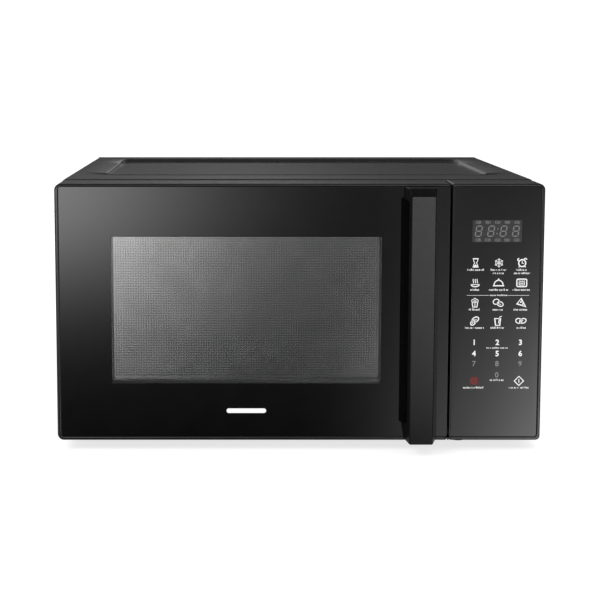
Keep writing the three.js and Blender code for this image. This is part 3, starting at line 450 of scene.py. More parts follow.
FINISHES = {
    "case": surface(
        "case_paint",
        ((38, 4), 0.012, 0.0145),
        ((420, 3), 0.12, 0.16),
        ((1500, 2), 0.012, 0.4),
        ((260, 2), 0.006, 0.2),
        Specular_IOR_Level=0.42,
    ),
    "piano": surface("piano_black", ((60, 3), 0.006, 0.009), ((90, 4), 0.12, 0.17), ((240, 2), 0.004, 0.2)),
    "handle": handle_black(),
    # black ink on the back of the front glass, seen through it
    "print": surface(
        "glass_print", ((45, 2), 0.0018, 0.0026), ((25, 5, 0.7), 0.02, 0.045), ((9, 2), 0.02, 0.12)
    ),
    "pane": thin_pane("door_pane", 0.864, 0.9),
    "inner": thin_pane("inner_pane", 0.399, 0.42),
    "clear": tray_glass(),
    "quartz": quartz(),
    "smoked": surface("smoked_window", ((400, 2), 0.020, 0.028), ((60, 4), 0.05, 0.1)),
    "white_ink": ink("white_ink", 0.68, 0.8),
    "caption_ink": ink("caption_ink", 0.561, 0.66),
    "grey_ink": ink("grey_ink", 0.17, 0.2),
    "dim_ink": ink("dim_ink", 0.1445, 0.17),
    "red_ink": ink("red_ink", (0.085, 0.012, 0.013), (0.105, 0.015, 0.016)),
    "light_red_ink": ink("light_red_ink", (0.204, 0.0288, 0.0312), (0.252, 0.036, 0.0384)),
    "screen": screen_coating(),
    # painted shade: near-black with almost no reflection, for the handle's finger scoop and the glass under it
    "shade_black": surface(
        "painted_shade_black",
        ((240, 3), 0.0015, 0.0025),
        ((300, 3), 0.75, 0.9),
        ((700, 2), 0.01, 0.3),
        Specular_IOR_Level=0.04,
    ),
    "trim": surface("screen_trim", ((200, 4), 0.04, 0.05), ((500, 3), 0.4, 0.5), ((900, 2), 0.02, 0.5)),
    "zinc": zinc(),
    "steel": surface(
        "bright_steel", ((300, 3), 0.6, 0.72), ((800, 3), 0.18, 0.32), ((1400, 2), 0.01, 0.4), Metallic=1.0
    ),
    "enamel": surface(
        "enamel",
        ((24, 4), (0.20, 0.20, 0.195), (0.25, 0.25, 0.245)),
        ((120, 4), 0.24, 0.34),
        ((240, 2), 0.01, 0.3),
    ),
    "black": moulded("moulded_black", 0.018, 0.026),
    "white": moulded("moulded_white", 0.55, 0.66, warm=0.03),
    "rubber": surface(
        "rubber",
        ((120, 4), 0.022, 0.034),
        ((300, 4), 0.7, 0.88),
        ((900, 4), 0.08, 0.8),
        Specular_IOR_Level=0.3,
    ),
    "mica": mica(),
    "windings": windings(),
    "circuit": circuit(),
}
LOOKS = {key: look.material for key, look in FINISHES.items()}


# ---- sizes taken from the frame
FRONT = extent("door_glass")
DOOR = extent("door_frame")
PANEL = extent("control_panel_frame")
CASE = extent("cabinet_cover")
GLASS_Y = FRONT[2]
FRAME_Y = DOOR[2]
DOOR_BACK_Y = DOOR[3]
SCREEN = extent("door_screen")
WINDOW = face_of(extent("inner_window"), 0.4)
SCREEN_Y = GLASS_Y + 14
GAP = 0.4
WALL = 2.5
CORNER = 7


# ---- case
def unit(value):
    """The value, held between 0 and 1."""
    return min(max(value, 0), 1)


def ease(t):
    return t * t * (3 - 2 * t)


def span(start, end, step):
    """Evenly spaced values from start to just before end."""
    count = max(1, round((end - start) / step))
    return [start + (end - start) * i / count for i in range(count)]


def dense_spans(start, end, edges, reach=7, fine=0.8, coarse=5):
    """Values from start to end, closely spaced near each edge."""
    values = [start]
    for edge in edges:
        values += span(values[-1], edge - reach, coarse)[1:]
        values += span(edge - reach, edge + reach, fine)
        values.append(edge + reach)
    values += span(values[-1], end, coarse)[1:]
    return values + [end]


PRESSING = {"x0": -229, "x1": 235, "y0": -66, "y1": 165, "radius": 22, "depth": 2.3, "slope": 3.0}
SHOULDER, SHOULDER_DROP, SHOULDER_FADE = 26, 1.35, 60
DROOP, DROOP_REACH = 0.9, 22


def pressing_depth(x, y):
    """How far the top is pressed down: a gentle shoulder, then an S-shaped slope, round a rectangle."""
    p = PRESSING
    half_x, half_y = (p["x1"] - p["x0"]) / 2, (p["y1"] - p["y0"]) / 2
    dx = abs(x - (p["x0"] + p["x1"]) / 2) - half_x + p["radius"]
    dy = abs(y - (p["y0"] + p["y1"]) / 2) - half_y + p["radius"]
    outside = math.hypot(max(dx, 0), max(dy, 0)) + min(max(dx, dy), 0) - p["radius"]
    inside = ease(unit(-outside / p["slope"]))
    s = unit(1 - outside / SHOULDER) * unit((p["y1"] - y) / SHOULDER_FADE)
    return SHOULDER_DROP * s * s * (1 - inside) + (SHOULDER_DROP + p["depth"]) * inside


def cover_section(inset, top_x):
    """(x, z, is_top) round the cover from the left hem to the right one."""
    half, top, bend = CASE[1] - inset, CASE[5] - inset, 5 - inset
    wall = [CASE[4] + (top - bend - CASE[4]) * i / 6 for i in range(6)]
    turns = [math.pi - i / 8 * math.pi / 2 for i in range(9)]
    left = [(-half + bend + bend * math.cos(t), top - bend + bend * math.sin(t)) for t in turns]
    right = [(-x, z) for x, z in reversed(left)]
    return (
        [(-half, z, False) for z in wall]
        + [(x, z, False) for x, z in left]
        + [(x, top, True) for x in top_x]
        + [(x, z, False) for x, z in right]
        + [(half, z, False) for z in reversed(wall)]
    )


def rear_droop(y):
    """The sheet's last stretch bends down a little towards the fold at the back."""
    return DROOP * unit((y - CASE[3] + DROOP_REACH) / DROOP_REACH) ** 2


def make_cover():
    p = PRESSING
    lip_end = CASE[2] + 16
    top_x = [x for x in dense_spans(-264, 264, [p["x0"] + 2, p["x1"] - 2]) if abs(x) < 263.5]
    top_x = sorted({*top_x, *range(-222, -204, 2), *range(212, 228, 2)})
    rows = [CASE[2], CASE[2] + 6, lip_end - 2]
    rows += [lip_end - 1.4, lip_end - 0.7, lip_end, lip_end + 0.6]
    rows += dense_spans(lip_end + 4, CASE[3], [p["y0"] + 2, p["y1"] - 2])
    rows = sorted({*rows, *range(-60, -44, 2), *range(144, 158, 2)})
    builder = Builder()
    bm = builder.bm
    grid = []
    for y in rows:
        inset = 1 - ease(unit((y - (lip_end - 2)) / 2.2))
        row = []
        for x, z, is_top in cover_section(inset, top_x):
            pressed = pressing_depth(x, y) if is_top else 0
            row.append(bm.verts.new((x, y, z - rear_droop(y) - pressed)))
        grid.append(row)
    for near, far in zip(grid, grid[1:]):
        for i in range(len(near) - 1):
            bm.faces.new((near[i], near[i + 1], far[i + 1], far[i]))
    bmesh.ops.recalc_face_normals(bm, faces=bm.faces)
    middle = min(bm.faces, key=lambda f: (f.calc_center_median() - Vector((0, 0, 300))).length)
    if middle.normal.z < 0:
        bmesh.ops.reverse_faces(bm, faces=bm.faces)
    cover = builder.finish("case_cover", ["case"], "oven", "cover_paint", ["cabinet_cover"], angle=50)
    modify(cover, "sheet", "SOLIDIFY", thickness=1.1 * MM, offset=-1)
    settle(cover, 50)
    cuts = Builder()
    lowest, pitch, length, half_height = 206.6, 7.5, 62, 1.7
    for x, y0 in ((CASE[1], -110), (CASE[1], -30), (CASE[0], 118)):
        for row in range(9):
            z = lowest + row * pitch
            slot = rounded(y0, y0 + length, z - half_height, z + half_height, 1.65, 5)
            cuts.loft([at_x(slot, x - 3), at_x(slot, x + 3)])
    carve(cover, cuts)


def make_cover_flange():
    """The cover's rear edge, folded inwards, seen round the rear panel."""
    build = Builder()
    y0, y1 = CASE[3] - 1.1, CASE[3] - 0.05
    outer, inner = CASE[1] - 0.7, CASE[1] - 12
    top = CASE[5] - 0.7
    for side in (-1, 1):
        x0, x1 = sorted((side * outer, side * inner))
        build.block(x0, x1, y0, y1, CASE[4] + 1, top, 0.3, 0.5)
    build.block(-inner, inner, y0, y1, top - 11, top, 0.3, 0.3)
    build.finish("case_rear_flange", ["case"], "oven", "cover_paint")


make_cover()
make_cover_flange()


# ---- feet and rear spacer
def lathe(build, centre, profile, count=48, material=0):
    """Turns a profile of (radius, height) about a vertical axis through the centre."""
    x, y = centre
    loops = [at_z(circle(x, y, max(r, 0.02), count), z) for r, z in profile]
    build.loft(loops, material=material)


def make_foot(name):
    x0, x1, y0, y1, z0, z1 = extent(name)
    centre = ((x0 + x1) / 2, (y0 + y1) / 2)
    radius = (x1 - x0) / 2
    profile = [(0.5, 0), (radius - 3.4, 0), (radius - 2.6, 0.1), (radius - 1.7, 0.5)]
    profile += [(radius - 0.9, 1.3), (radius - 0.4, 2.2), (radius - 0.1, 3.2), (radius, 4.2)]
    profile += [(radius, 8.4), (radius - 0.35, 8.7), (radius - 0.35, 9.4), (radius, 9.7)]
    profile += [(radius, 11.1), (radius - 0.3, 11.55), (radius - 0.7, 11.7), (3, 11.7), (3, z1 - 0.1)]
    build = Builder()
    lathe(build, centre, profile)
    build.finish(f"{name}_pad", ["rubber"], "oven", "foot_rubber", [name])


for foot in ("foot_front_left", "foot_front_right", "foot_rear_left", "foot_rear_right"):
    make_foot(foot)


# ---- fronts of the door and the control panel
def front_outline(bounds, radii):
    def outline(inset):
        return grown(face_of(bounds), -inset, [max(r - inset, 0.1) for r in radii])

    return outline


def front_shell(bounds, radii, seat, hole, hole_radius, pocket_y, back_y):
    """A moulded front: a rim, a pocket for the glass, a hole through it and an open back."""
    outer = front_outline(bounds, radii)
    pocket = rounded(*seat, 3.2)
    hole = rounded(*hole, hole_radius)
    loops = [at_y(hole, pocket_y + WALL), at_y(hole, pocket_y), at_y(pocket, pocket_y)]
    loops.append(at_y(pocket, FRAME_Y + 0.5))
    for flare, depth, radius in ((0.15, 0.15, 3.3), (0.5, 0, 3.5)):
        loops.append(at_y(grown(seat, flare, radius), FRAME_Y + depth))
    loops += plate_edges(outer, FRAME_Y, back_y, (1.9, 7), (0.6, 3))
    loops.append(at_y(outer(WALL), back_y))
    loops.append(at_y(outer(WALL), pocket_y + WALL))
    build = Builder()
    build.loft(loops, closed=True)
    return build


HINGE = next(j for j in frame["joints"] if j["name"] == "door_hinge")["pos_m"]
HINGE_X, HINGE_Y = HINGE[0] / MM, HINGE[1] / MM
HINGE_ARMS_Z = (292, 20)
HINGE_LUGS_Z = ((22.9, 33), (279, 288.6))


def make_door_frame():
    radii, seat, pocket_y = [CORNER, 2, 2, CORNER], face_of(FRONT, GAP), FRONT[3] + GAP
    build = front_shell(DOOR, radii, seat, WINDOW, 2.5, pocket_y, DOOR_BACK_Y)
    for z0, z1 in HINGE_LUGS_Z:
        build.block(DOOR[0] + 2, HINGE_X + 8, HINGE_Y - 8, HINGE_Y + 8, z0, z1)
    door = build.finish("door_shell", ["piano"], "door", "gloss_black", ["door_frame"])
    slots = Builder()
    for arm in HINGE_ARMS_Z:
        outline = rounded(arm - 2.8, arm + 2.8, DOOR[0] - 2, HINGE_X + 8, 1.5, 4)
        loop = [(x, z) for z, x in outline]
        slots.loft([at_y(loop, HINGE_Y - 12.5), at_y(loop, DOOR_BACK_Y + 1)])
    radius = 6
    edge_x, edge_y = DOOR[0] + radius, DOOR_BACK_Y - radius
    turns = [math.pi - i / 10 * math.pi / 2 for i in range(11)]
    arc = [(edge_x + radius * math.cos(t), edge_y + radius * math.sin(t)) for t in turns]
    wedge = arc + [(edge_x, DOOR_BACK_Y + 2), (DOOR[0] - 2, DOOR_BACK_Y + 2), (DOOR[0] - 2, edge_y)]
    corner = Builder()
    corner.loft([at_z(wedge, 5), at_z(wedge, 305)])
    carve(door, slots, corner)


def make_door_glass():
    """Front glass: black print with a clear window."""
    outer = front_outline(FRONT, [3, 3, 3, 3])
    window = grown(WINDOW, -0.4, 2.2)
    build = Builder()
    loops = [at_y(window, FRONT[2])]
    loops += plate_edges(outer, FRONT[2], FRONT[3], (0.5, 4), (0.3, 3))
    loops.append(at_y(window, FRONT[3]))
    build.loft(loops, cap_material=1)
    looks = ["print", "pane"]
    build.finish("door_front_glass", looks, "door", "black_glass", ["door_glass"], angle=60)


def make_badge():
    """A plain pale bar low on the door."""
    x, z, half_width, half_height = -58.5, 46, 22, 2.6
    front, back = -197.5, -197.05

    def outline(inset):
        across, up = half_width - inset, half_height - inset
        return rounded(x - across, x + across, z - up, z + up, 2.5 - inset)

    build = Builder()
    build.slab(outline, front, back, 0.25, 0.1)
    build.finish("door_badge", ["white_ink"], "door", "screen_paint")


make_door_frame()
make_door_glass()
make_badge()


# ---- perforated screen
def make_screen():
    """Thin steel with a field of round holes, held in the channel round the window."""
    pitch, hole, sides = 2.8, 0.9, 8
    margin = 2.2
    x0, x1, z0, z1 = WINDOW
    columns = int((x1 - x0 - 2 * margin) / pitch)
    rows = int((z1 - z0 - 2 * margin) / pitch)
    left = (x0 + x1 - columns * pitch) / 2
    low = (z0 + z1 - rows * pitch) / 2
    square = ((1, 0), (1, 1), (0, 1), (-1, 1), (-1, 0), (-1, -1), (0, -1), (1, -1))
    rim = [(u * pitch / 2, v * pitch / 2) for u, v in square]
    ring = circle(0, 0, hole, sides)
    verts, faces = [], []
    for row in range(rows):
        for column in range(columns):
            x, z = left + (column + 0.5) * pitch, low + (row + 0.5) * pitch
            first = len(verts)
            verts += [(x + u, SCREEN_Y, z + v) for u, v in rim + ring]
            for i in range(sides):
                j = (i + 1) % sides
                faces.append((first + i, first + j, first + sides + j, first + sides + i))
    mesh = bpy.data.meshes.new("door_perforated_screen")
    mesh.from_pydata([Vector(v) * MM for v in verts], [], faces)
    bm = bmesh.new()
    bm.from_mesh(mesh)
    bmesh.ops.remove_doubles(bm, verts=bm.verts, dist=1e-5)
    bm.to_mesh(mesh)
    bm.free()
    dress("door_perforated_screen", mesh, ["screen"], "door")
    border = Builder()
    inner = grown((left, left + columns * pitch, low, low + rows * pitch), -0.8, 0.3)
    tube = rounded(*WINDOW, 2.5)
    border.loft([at_y(tube, SCREEN_Y - 0.25), at_y(inner, SCREEN_Y - 0.25)], caps=(False, False))
    border.loft([at_y(inner, SCREEN_Y + 0.25), at_y(tube, SCREEN_Y + 0.25)], caps=(False, False))
    border.finish("door_screen_border", ["screen"], "door", "screen_paint")


def make_choke():
    """The steel channel round the window."""
    y0, y1 = SCREEN[2:4]
    hole, rim = rounded(*WINDOW, 2.5), grown(WINDOW, 1.3, 3.8)
    outer, inner = rounded(*face_of(SCREEN), 3), grown(face_of(SCREEN), -1.2, 2)
    build = Builder()
    loops = [at_y(hole, y1), at_y(hole, y0), at_y(outer, y0), at_y(outer, y1)]
    loops += [at_y(inner, y1), at_y(inner, y0 + 1.2), at_y(rim, y0 + 1.2), at_y(rim, y1)]
    build.loft(loops, closed=True)
    build.finish("door_choke", ["trim"], "door", "screen_paint", ["door_screen"])


make_screen()
make_choke()


# ---- handle
def make_handle():
    """A tapered bar with a sloped top, scooped out on the window side."""
    x0, x1, y0, y1, z0, z1 = extent("door_handle")
    nose_x0, nose_x1 = x0 + 6.4, x1 - 7.7
    slope_z, slope_y = z1 - 9.2, 8.0

    def section(z, inset=0.0):
        lift = max(z - slope_z, 0) / (z1 - slope_z) * slope_y
        trim = max(1 - (z - z0) / 18, 0) * 3
        front = y0 + lift + inset
        share = lift / (y1 - y0)
        left = nose_x0 - (nose_x0 - x0) * share + inset
        right = nose_x1 + (x1 - nose_x1) * share - inset
        corners = [(left, front), (right, front), (x1 - inset, y1 - inset), (x0 + trim + inset, y1 - inset)]
        return filleted(corners, [1.5, 1.5, 0.6, 0.6])

    levels = [(z0 + d, i) for i, d in quarter(1.0, 4)]
    levels += [(z0 + 18, 0), (slope_z - 0.5, 0), (slope_z + 0.5, 0)]
    levels += [(z1 - d, i) for i, d in reversed(quarter(0.8, 4))]
    bar = Builder()
    bar.loft([at_z(section(z, inset), z) for z, inset in levels], cap_material=2)
    # the scoop's inside takes the painted shade black
    looks = ["handle", "shade_black", "piano"]
    handle = bar.finish("door_pull", looks, "door", "gloss_black", ["door_handle"])
    depth, low, high = 16, z0 + 20.6, z1 - 14
    pocket = rounded(low, high, y1 - depth, y1 - 0.9, [5, 5, 2, 2], 5)
    scoop = Builder()
    scoop.loft([[(x, y, z) for z, y in pocket] for x in (x0 - 8, x1 - 16.5)], material=1)
    carve(handle, scoop)


def make_painted_shade_strip():
    """A matt black strip on the glass under the handle's finger scoop: painted shade where the scoop shadows
    the glass.
    """
    x0, x1, y0, y1, z0, z1 = extent("door_handle")
    strip = Builder()
    strip.block(x0 - 2.6, x0 + 20, GLASS_Y - 0.35, GLASS_Y - 0.05, z0 + 19, z1 - 12, 0.12, 2.5)
    strip.finish("door_handle_painted_shade", ["shade_black"], "door", "matte_black")


make_handle()
make_painted_shade_strip()


# ---- control panel
OVERLAY = extent("keypad_overlay")
DISPLAY = extent("display_window")
PRINT_Y = GLASS_Y - 0.05


def make_panel_frame():
    seat, hole = face_of(OVERLAY, GAP), face_of(DISPLAY, -1.2)
    build = front_shell(PANEL, [2, 5, 7, 2], seat, hole, 1, OVERLAY[3] + GAP, PANEL[3])
    build.finish("panel_shell", ["piano"], "oven", "gloss_black", ["control_panel_frame"])


def make_gap_lip():
    """A ledge under the gap beside the door, carried by the control panel."""
    x0, x1 = DOOR[1] + 0.65, PANEL[0] - 0.02
    lip = Builder()
    lip.block(x0, x1, PANEL[2] + 1.2, PANEL[3] - 1, PANEL[4], PANEL[4] + 3, 0.2, 0.3)
    lip.finish("panel_gap_lip", ["black"], "oven", "gloss_black")


def make_overlay():
    outer = front_outline(OVERLAY, [3, 3, 3, 3])
    hole = grown(face_of(DISPLAY), 0.2, 1.2)
    build = Builder()
    loops = [at_y(hole, OVERLAY[3]), at_y(hole, OVERLAY[2])]
    loops += plate_edges(outer, OVERLAY[2], OVERLAY[3], (0.4, 4), (0.2, 2))
    build.loft(loops, closed=True)
    build.finish("keypad_print", ["print"], "oven", "black_glass", ["keypad_overlay"])


def make_display():
    build = Builder()
    build.slab(lambda i: grown(face_of(DISPLAY), -i, 1.1 - i), DISPLAY[2], DISPLAY[3], 0.15, 0.1)
    build.finish("display_pane", ["smoked"], "oven", "display_glass", ["display_window"])


make_panel_frame()
make_gap_lip()
make_overlay()
make_display()


# ---- printed keypad
class Print:
    """Flat ink shapes on the keypad, drawn in millimetres about a movable origin."""

    def __init__(self, front=PRINT_Y):
        self.bm = bmesh.new()
        self.front = front
        self.origin = (0, 0)
        self.random = random.Random(11)

    def area(self, points):
        """A filled outline."""
        x, z = self.origin
        self.bm.faces.new([self.bm.verts.new((x + u, self.front, z + v)) for u, v in points])

    def stroke(self, points, width=0.8, closed=False):
        """A line of even width through the points."""
        points = [Vector(p) for p in points]
        count = len(points)
        sides = []
        for i, p in enumerate(points):
            before = points[i - 1] if closed or i else p
            after = points[(i + 1) % count] if closed or i < count - 1 else p
            along = (after - before).normalized()
            first = (p - before).normalized() if p != before else along
            second = (after - p).normalized() if p != after else along
            lean = max((first.dot(second) + 1) / 2, 0.3) ** 0.5
            across = Vector((-along.y, along.x)) * width / 2 / lean
            sides.append((p + across, p - across))
        pairs = list(zip(sides, sides[1:]))
        if closed:
            pairs.append((sides[-1], sides[0]))
        for (a, b), (c, d) in pairs:
            self.area([b, d, c, a])

    def dot(self, x, z, r, count=12):
        self.area(circle(x, z, r, count))

    def oval(self, x, z, a, b, width, lean=0, count=24):
        tilt = math.radians(lean)
        points = []
        for u, v in circle(0, 0, 1, count):
            u, v = u * a, v * b
            c, s = math.cos(tilt), math.sin(tilt)
            points.append((x + u * c - v * s, z + u * s + v * c))
        self.stroke(points, width, closed=True)

    def arc(self, x, z, r, start, end, width, squash=1.0, steps=12):
        turns = [math.radians(start + (end - start) * i / steps) for i in range(steps + 1)]
        self.stroke([(x + r * math.cos(t), z + r * squash * math.sin(t)) for t in turns], width)

    def bar(self, x, z, width, height):
        self.area(rounded(x - width / 2, x + width / 2, z - height / 2, z + height / 2, height * 0.25, 2))

    def caption(self, x, z, width, height=1.8):
        """A row of small plain marks where a caption would be."""
        at = x - width / 2
        while at < x + width / 2 - 0.8:
            mark = self.random.uniform(0.75, 1.35)
            tall = height * self.random.choice((1, 1, 1, 1.4))
            self.bar(at + mark / 2, z + (tall - height) / 2, mark, tall)
            at += mark + self.random.choice((0.38, 0.38, 0.38, 1.3))

    def text(self, words, x, z, size, bold=0.0):
        curve = bpy.data.curves.new("figure", "FONT")
        curve.body = words
        curve.size = size
        curve.offset = bold
        curve.align_x = curve.align_y = "CENTER"
        curve.resolution_u = 3
        holder = add_object("figure", curve)
        graph = bpy.context.evaluated_depsgraph_get()
        mesh = bpy.data.meshes.new_from_object(holder.evaluated_get(graph))
        bpy.data.objects.remove(holder)
        for v in mesh.vertices:
            v.co = (x + v.co.x, self.front, z + v.co.y)
        self.bm.from_mesh(mesh)
        bpy.data.meshes.remove(mesh)

    def finish(self, name, look, slot="black_glass"):
        for face in self.bm.faces:
            face.normal_update()
            if face.normal.y > 0:
                face.normal_flip()
        dress(name, in_metres(self.bm, name), [look], "oven")


def hourglass(p):
    for side in (-1, 1):
        p.stroke([(-3.2, side * 4.6), (3.2, side * 4.6)], 1.2)
        p.stroke([(side * 2.4, 4.2), (side * 2.2, 2.2), (side * 0.8, 0)])
        p.stroke([(side * 0.8, 0), (side * 2.2, -2.2), (side * 2.4, -4.2)])
    p.area([(-2, -4.2), (2, -4.2), (1.4, -2.6), (0, -1.8), (-1.4, -2.6)])


def snowflake(p):
    for turn in range(6):
        t = math.radians(30 + 60 * turn)
        c, s = math.cos(t), math.sin(t)
        p.stroke([(0.4 * c, 0.4 * s), (5 * c, 5 * s)], 0.9)
        for lean in (-50, 50):
            u = t + math.radians(lean)
            p.stroke([(2.7 * c, 2.7 * s), (2.7 * c + 1.9 * math.cos(u), 2.7 * s + 1.9 * math.sin(u))], 0.75)


def alarm_clock(p):
    p.oval(0, -0.3, 3.9, 3.9, 1.3)
    p.stroke([(0, 2.2), (0, -0.5), (1.9, -0.5)])
    for side in (-1, 1):
        p.arc(side * 3.5, 3.5, 1.4, 45 - side * 45, 225 - side * 45, 1.2)
        p.stroke([(side * 2.6, -3.6), (side * 3.8, -4.9)], 1.1)


def steaming_dish(p):
    for k in (-2.2, 0, 2.2):
        p.stroke([(k + 0.4 * math.sin(i * 1.3), -0.4 + i * 0.95) for i in range(6)])
    p.arc(0, -1.8, 4.5, 180, 360, 1.2, 0.55)
    p.stroke([(-4.9, -1.8), (4.9, -1.8)])


def cloche(p):
    p.arc(0, -2.4, 5, 0, 180, 1.1, 1.05)
    p.stroke([(-6.2, -3.2), (6.2, -3.2)], 1.2)
    p.dot(0, 3.9, 0.95)


def grill_oven(p):
    p.stroke(rounded(-5.4, 5.4, -4.2, 4.2, 1.2, 3), 1.2, closed=True)
    p.stroke(rounded(-2.9, 2.9, -2.4, 1.2, 0.6, 3), closed=True)
    for k in (-3, -1, 1, 3):
        p.dot(k, 2.5, 0.45, 8)
    p.stroke([(-1.8, -0.6), (1.8, -0.6)])


def popcorn(p):
    p.stroke([(-2.3, -4.9), (2.3, -4.9), (3.1, 0.6), (-3.1, 0.6)], 1.0, closed=True)
    p.stroke([(0, -4.6), (0, 0.4)])
    for u, v in ((-2.3, 2.2), (0, 3.6), (2.3, 2.2)):
        p.oval(u, v, 1.3, 1.3, 0.8, count=12)


def potatoes(p):
    p.oval(-2.2, 1.1, 3.4, 2.8, 1.0, 20)
    p.oval(2.3, -1.5, 3.4, 2.5, 1.0, -25)
    p.stroke([(0.8, -1.0), (3.2, -2.4)], 0.7)


def pizza(p):
    p.stroke([(-4.9, -1.2), (-0.4, 4.6), (4.8, -4.4)], 1.2, closed=True)
    p.dot(-0.6, 0.7, 1.0)
    p.dot(1.6, -1.6, 0.8)


def vegetable(p):
    p.oval(0.8, 1.4, 4.0, 2.6, 1.2, 30)
    p.oval(-1.6, -1.9, 3.3, 2.2, 1.2, 50)
    p.stroke([(-2.6, -3.0), (2.0, 2.0)], 0.9)


def drink(p):
    p.stroke([(-3.4, 2.6), (3.0, 2.6), (2.2, -5.0), (-2.4, -5.0)], 1.1, closed=True)
    p.stroke([(0.6, -2.8), (2.2, 4.6), (4.4, 5.2)])


def meat(p):
    p.oval(-2.4, 0, 3.4, 2.7, 1.1, -15)
    p.oval(2.2, 0, 3.7, 2.5, 1.1, 20)
    p.stroke([(-0.8, -0.8), (2.4, 0.6)])


COLUMN_X = (194, 219.7, 245.3)
ICON_ROWS = (
    (212.5, ((hourglass, (18,)), (snowflake, (18, 13)), (alarm_clock, (13, 18)))),
    (190.2, ((steaming_dish, (11,)), (cloche, (21,)), (grill_oven, (20,)))),
    (168.0, ((popcorn, (14,)), (potatoes, (12,)), (pizza, (17,)))),
    (147.6, ((vegetable, (21,)), (drink, (16,)), (meat, (10,)))),
)
CAPTION_DROP = 8.0
CAPTION_STEP = 3.7
DIGIT_ROWS = (
    (123.1, "123", "white_ink", 0.22),
    (110.5, "456", "white_ink", 0.22),
    (99.0, "789", "grey_ink", 0.12),
    (86.4, " 0 ", "grey_ink", 0.12),
)
STOP_Z = 79.8


def make_stop_mark(p):
    """The red octagon of the stop mark; the lighter ring in it is drawn separately."""
    size, cut = 4.6, 1.9
    octagon = [(size, -size + cut), (size, size - cut), (size - cut, size), (-size + cut, size)]
    p.area(octagon + [(-u, -v) for u, v in octagon])


def make_keypad():
    white, grey_print, red, light_red = Print(), Print(), Print(), Print(PRINT_Y - 0.03)
    prints = {"white_ink": white, "grey_ink": grey_print}
    captions = Print()
    for z, icons in ICON_ROWS:
        for x, (icon, widths) in zip(COLUMN_X, icons):
            white.origin = (x, z)
            icon(white)
            for line, width in enumerate(widths):
                captions.caption(x, z - CAPTION_DROP - line * CAPTION_STEP, width)
    left, middle, right = COLUMN_X
    line_z = 176.2
    white.origin = (0, 0)
    captions.caption(middle, line_z, 19, 1.3)
    for x0, x1 in ((left - 9, middle - 10.5), (middle + 10.5, right + 8.5)):
        captions.stroke([(x0, line_z), (x1, line_z)], 0.4)
    for z, digits, look, bold in DIGIT_ROWS:
        for x, digit in zip(COLUMN_X, digits):
            if digit != " ":
                prints[look].text(digit, x, z, 8.4, bold)
    captions.caption(middle, 117, 24, 1.3)
    captions.caption(middle, 80.6, 15)
    captions.caption(left, STOP_Z - 7.8, 23)
    captions.caption(right, STOP_Z - 7.8, 24)
    white.origin = (right - 0.8, STOP_Z)
    white.stroke([(-5.2, 0), (0, 5.2), (5.2, 0), (0, -5.2)], 0.95, closed=True)
    white.stroke([(0, -2.2), (0, 2.2)], 0.9)
    red.origin = light_red.origin = (left + 0.6, STOP_Z)
    make_stop_mark(red)
    light_red.oval(0, 0, 2.7, 2.7, 0.5)
    white.finish("keypad_white_print", "white_ink")
    captions.finish("keypad_captions", "caption_ink")
    grey_print.finish("keypad_grey_print", "grey_ink")
    red.finish("keypad_stop_mark", "red_ink")
    light_red.finish("keypad_stop_ring", "light_red_ink")


SEGMENTS = {
    "a": ((0, 2), (1, 2)),
    "b": ((1, 1), (1, 2)),
    "c": ((1, 0), (1, 1)),
    "d": ((0, 0), (1, 0)),
    "e": ((0, 0), (0, 1)),
    "f": ((0, 1), (0, 2)),
    "g": ((0, 1), (1, 1)),
}


def make_display_print():
    """Unlit figures and symbols behind the smoked window."""
    x0, x1, y0, _, z0, z1 = DISPLAY
    p = Print(y0 - 0.03)
    middle_x, middle_z = (x0 + x1) / 2, (z0 + z1) / 2
    width, height, lean = 6.2, 5.6, 0.16
    for figure in (-1.5, -0.5, 0.5, 1.5):
        left = middle_x + figure * 13.6 - width / 2
        for (u0, v0), (u1, v1) in SEGMENTS.values():
            ends = []
            for u, v, pull in ((u0, v0, 0.12), (u1, v1, -0.12)):
                u += pull * (u1 - u0)
                v += pull * (v1 - v0)
                z = (v - 1) * height
                ends.append((left + u * width + z * lean, middle_z + z))
            p.stroke(ends, 1.1)
    for z in (-2.6, 2.6):
        p.bar(middle_x + z * lean, middle_z + z, 1.1, 1.6)
    for z in (z0 + 2.6, z1 - 2.6):
        for i in range(5):
            x = x0 + 6.4 + i * 10.6
            p.caption(x, z, 6, 1.0)
            p.stroke(rounded(x - 2.6, x + 2.6, z - 1.3, z + 1.3, 0.7, 2), 0.4, closed=True)
    p.finish("display_figures", "dim_ink", "display_glass")


make_keypad()
make_display_print()


# ---- turntable tray
def make_tray():
    x0, x1, y0, y1, z0, z1 = extent("glass_tray")
    centre = ((x0 + x1) / 2, (y0 + y1) / 2)
    radius = (x1 - x0) / 2
    base = z1 - 14
    profile = [(0.2, base), (141, base), (146, base + 0.8), (150.5, base + 3.6), (radius - 1.6, base + 10.6)]
    profile += [(radius - 0.3, base + 12), (radius, base + 13), (radius - 0.5, base + 13.8)]
    profile += [(radius - 1.5, base + 14), (radius - 2.4, base + 13.4), (148.4, base + 7.2)]
    profile += [(144, base + 5.2), (139, base + 4.6), (118, base + 4.4), (116.5, base + 3.9)]
    profile += [(113.5, base + 3.9), (112, base + 4.4), (60, base + 4.4), (58.8, base + 4.0)]
    profile += [(57.2, base + 4.0), (56, base + 4.4), (0.2, base + 4.4)]
    build = Builder()
    lathe(build, centre, profile, 96)
    for i in range(3):
        angle = math.radians(120 * i + 60)
        lug = (centre[0] + 20 * math.cos(angle), centre[1] + 20 * math.sin(angle))
        sides = [(0.3, z0), (3.2, z0), (3.8, z0 + 0.5), (4, z0 + 1.4), (4, base + 0.2), (0.3, base + 0.2)]
        lathe(build, lug, sides, 20)
    build.finish("turntable_tray", ["clear"], "tray", "clear_glass", ["glass_tray"])


make_tray()


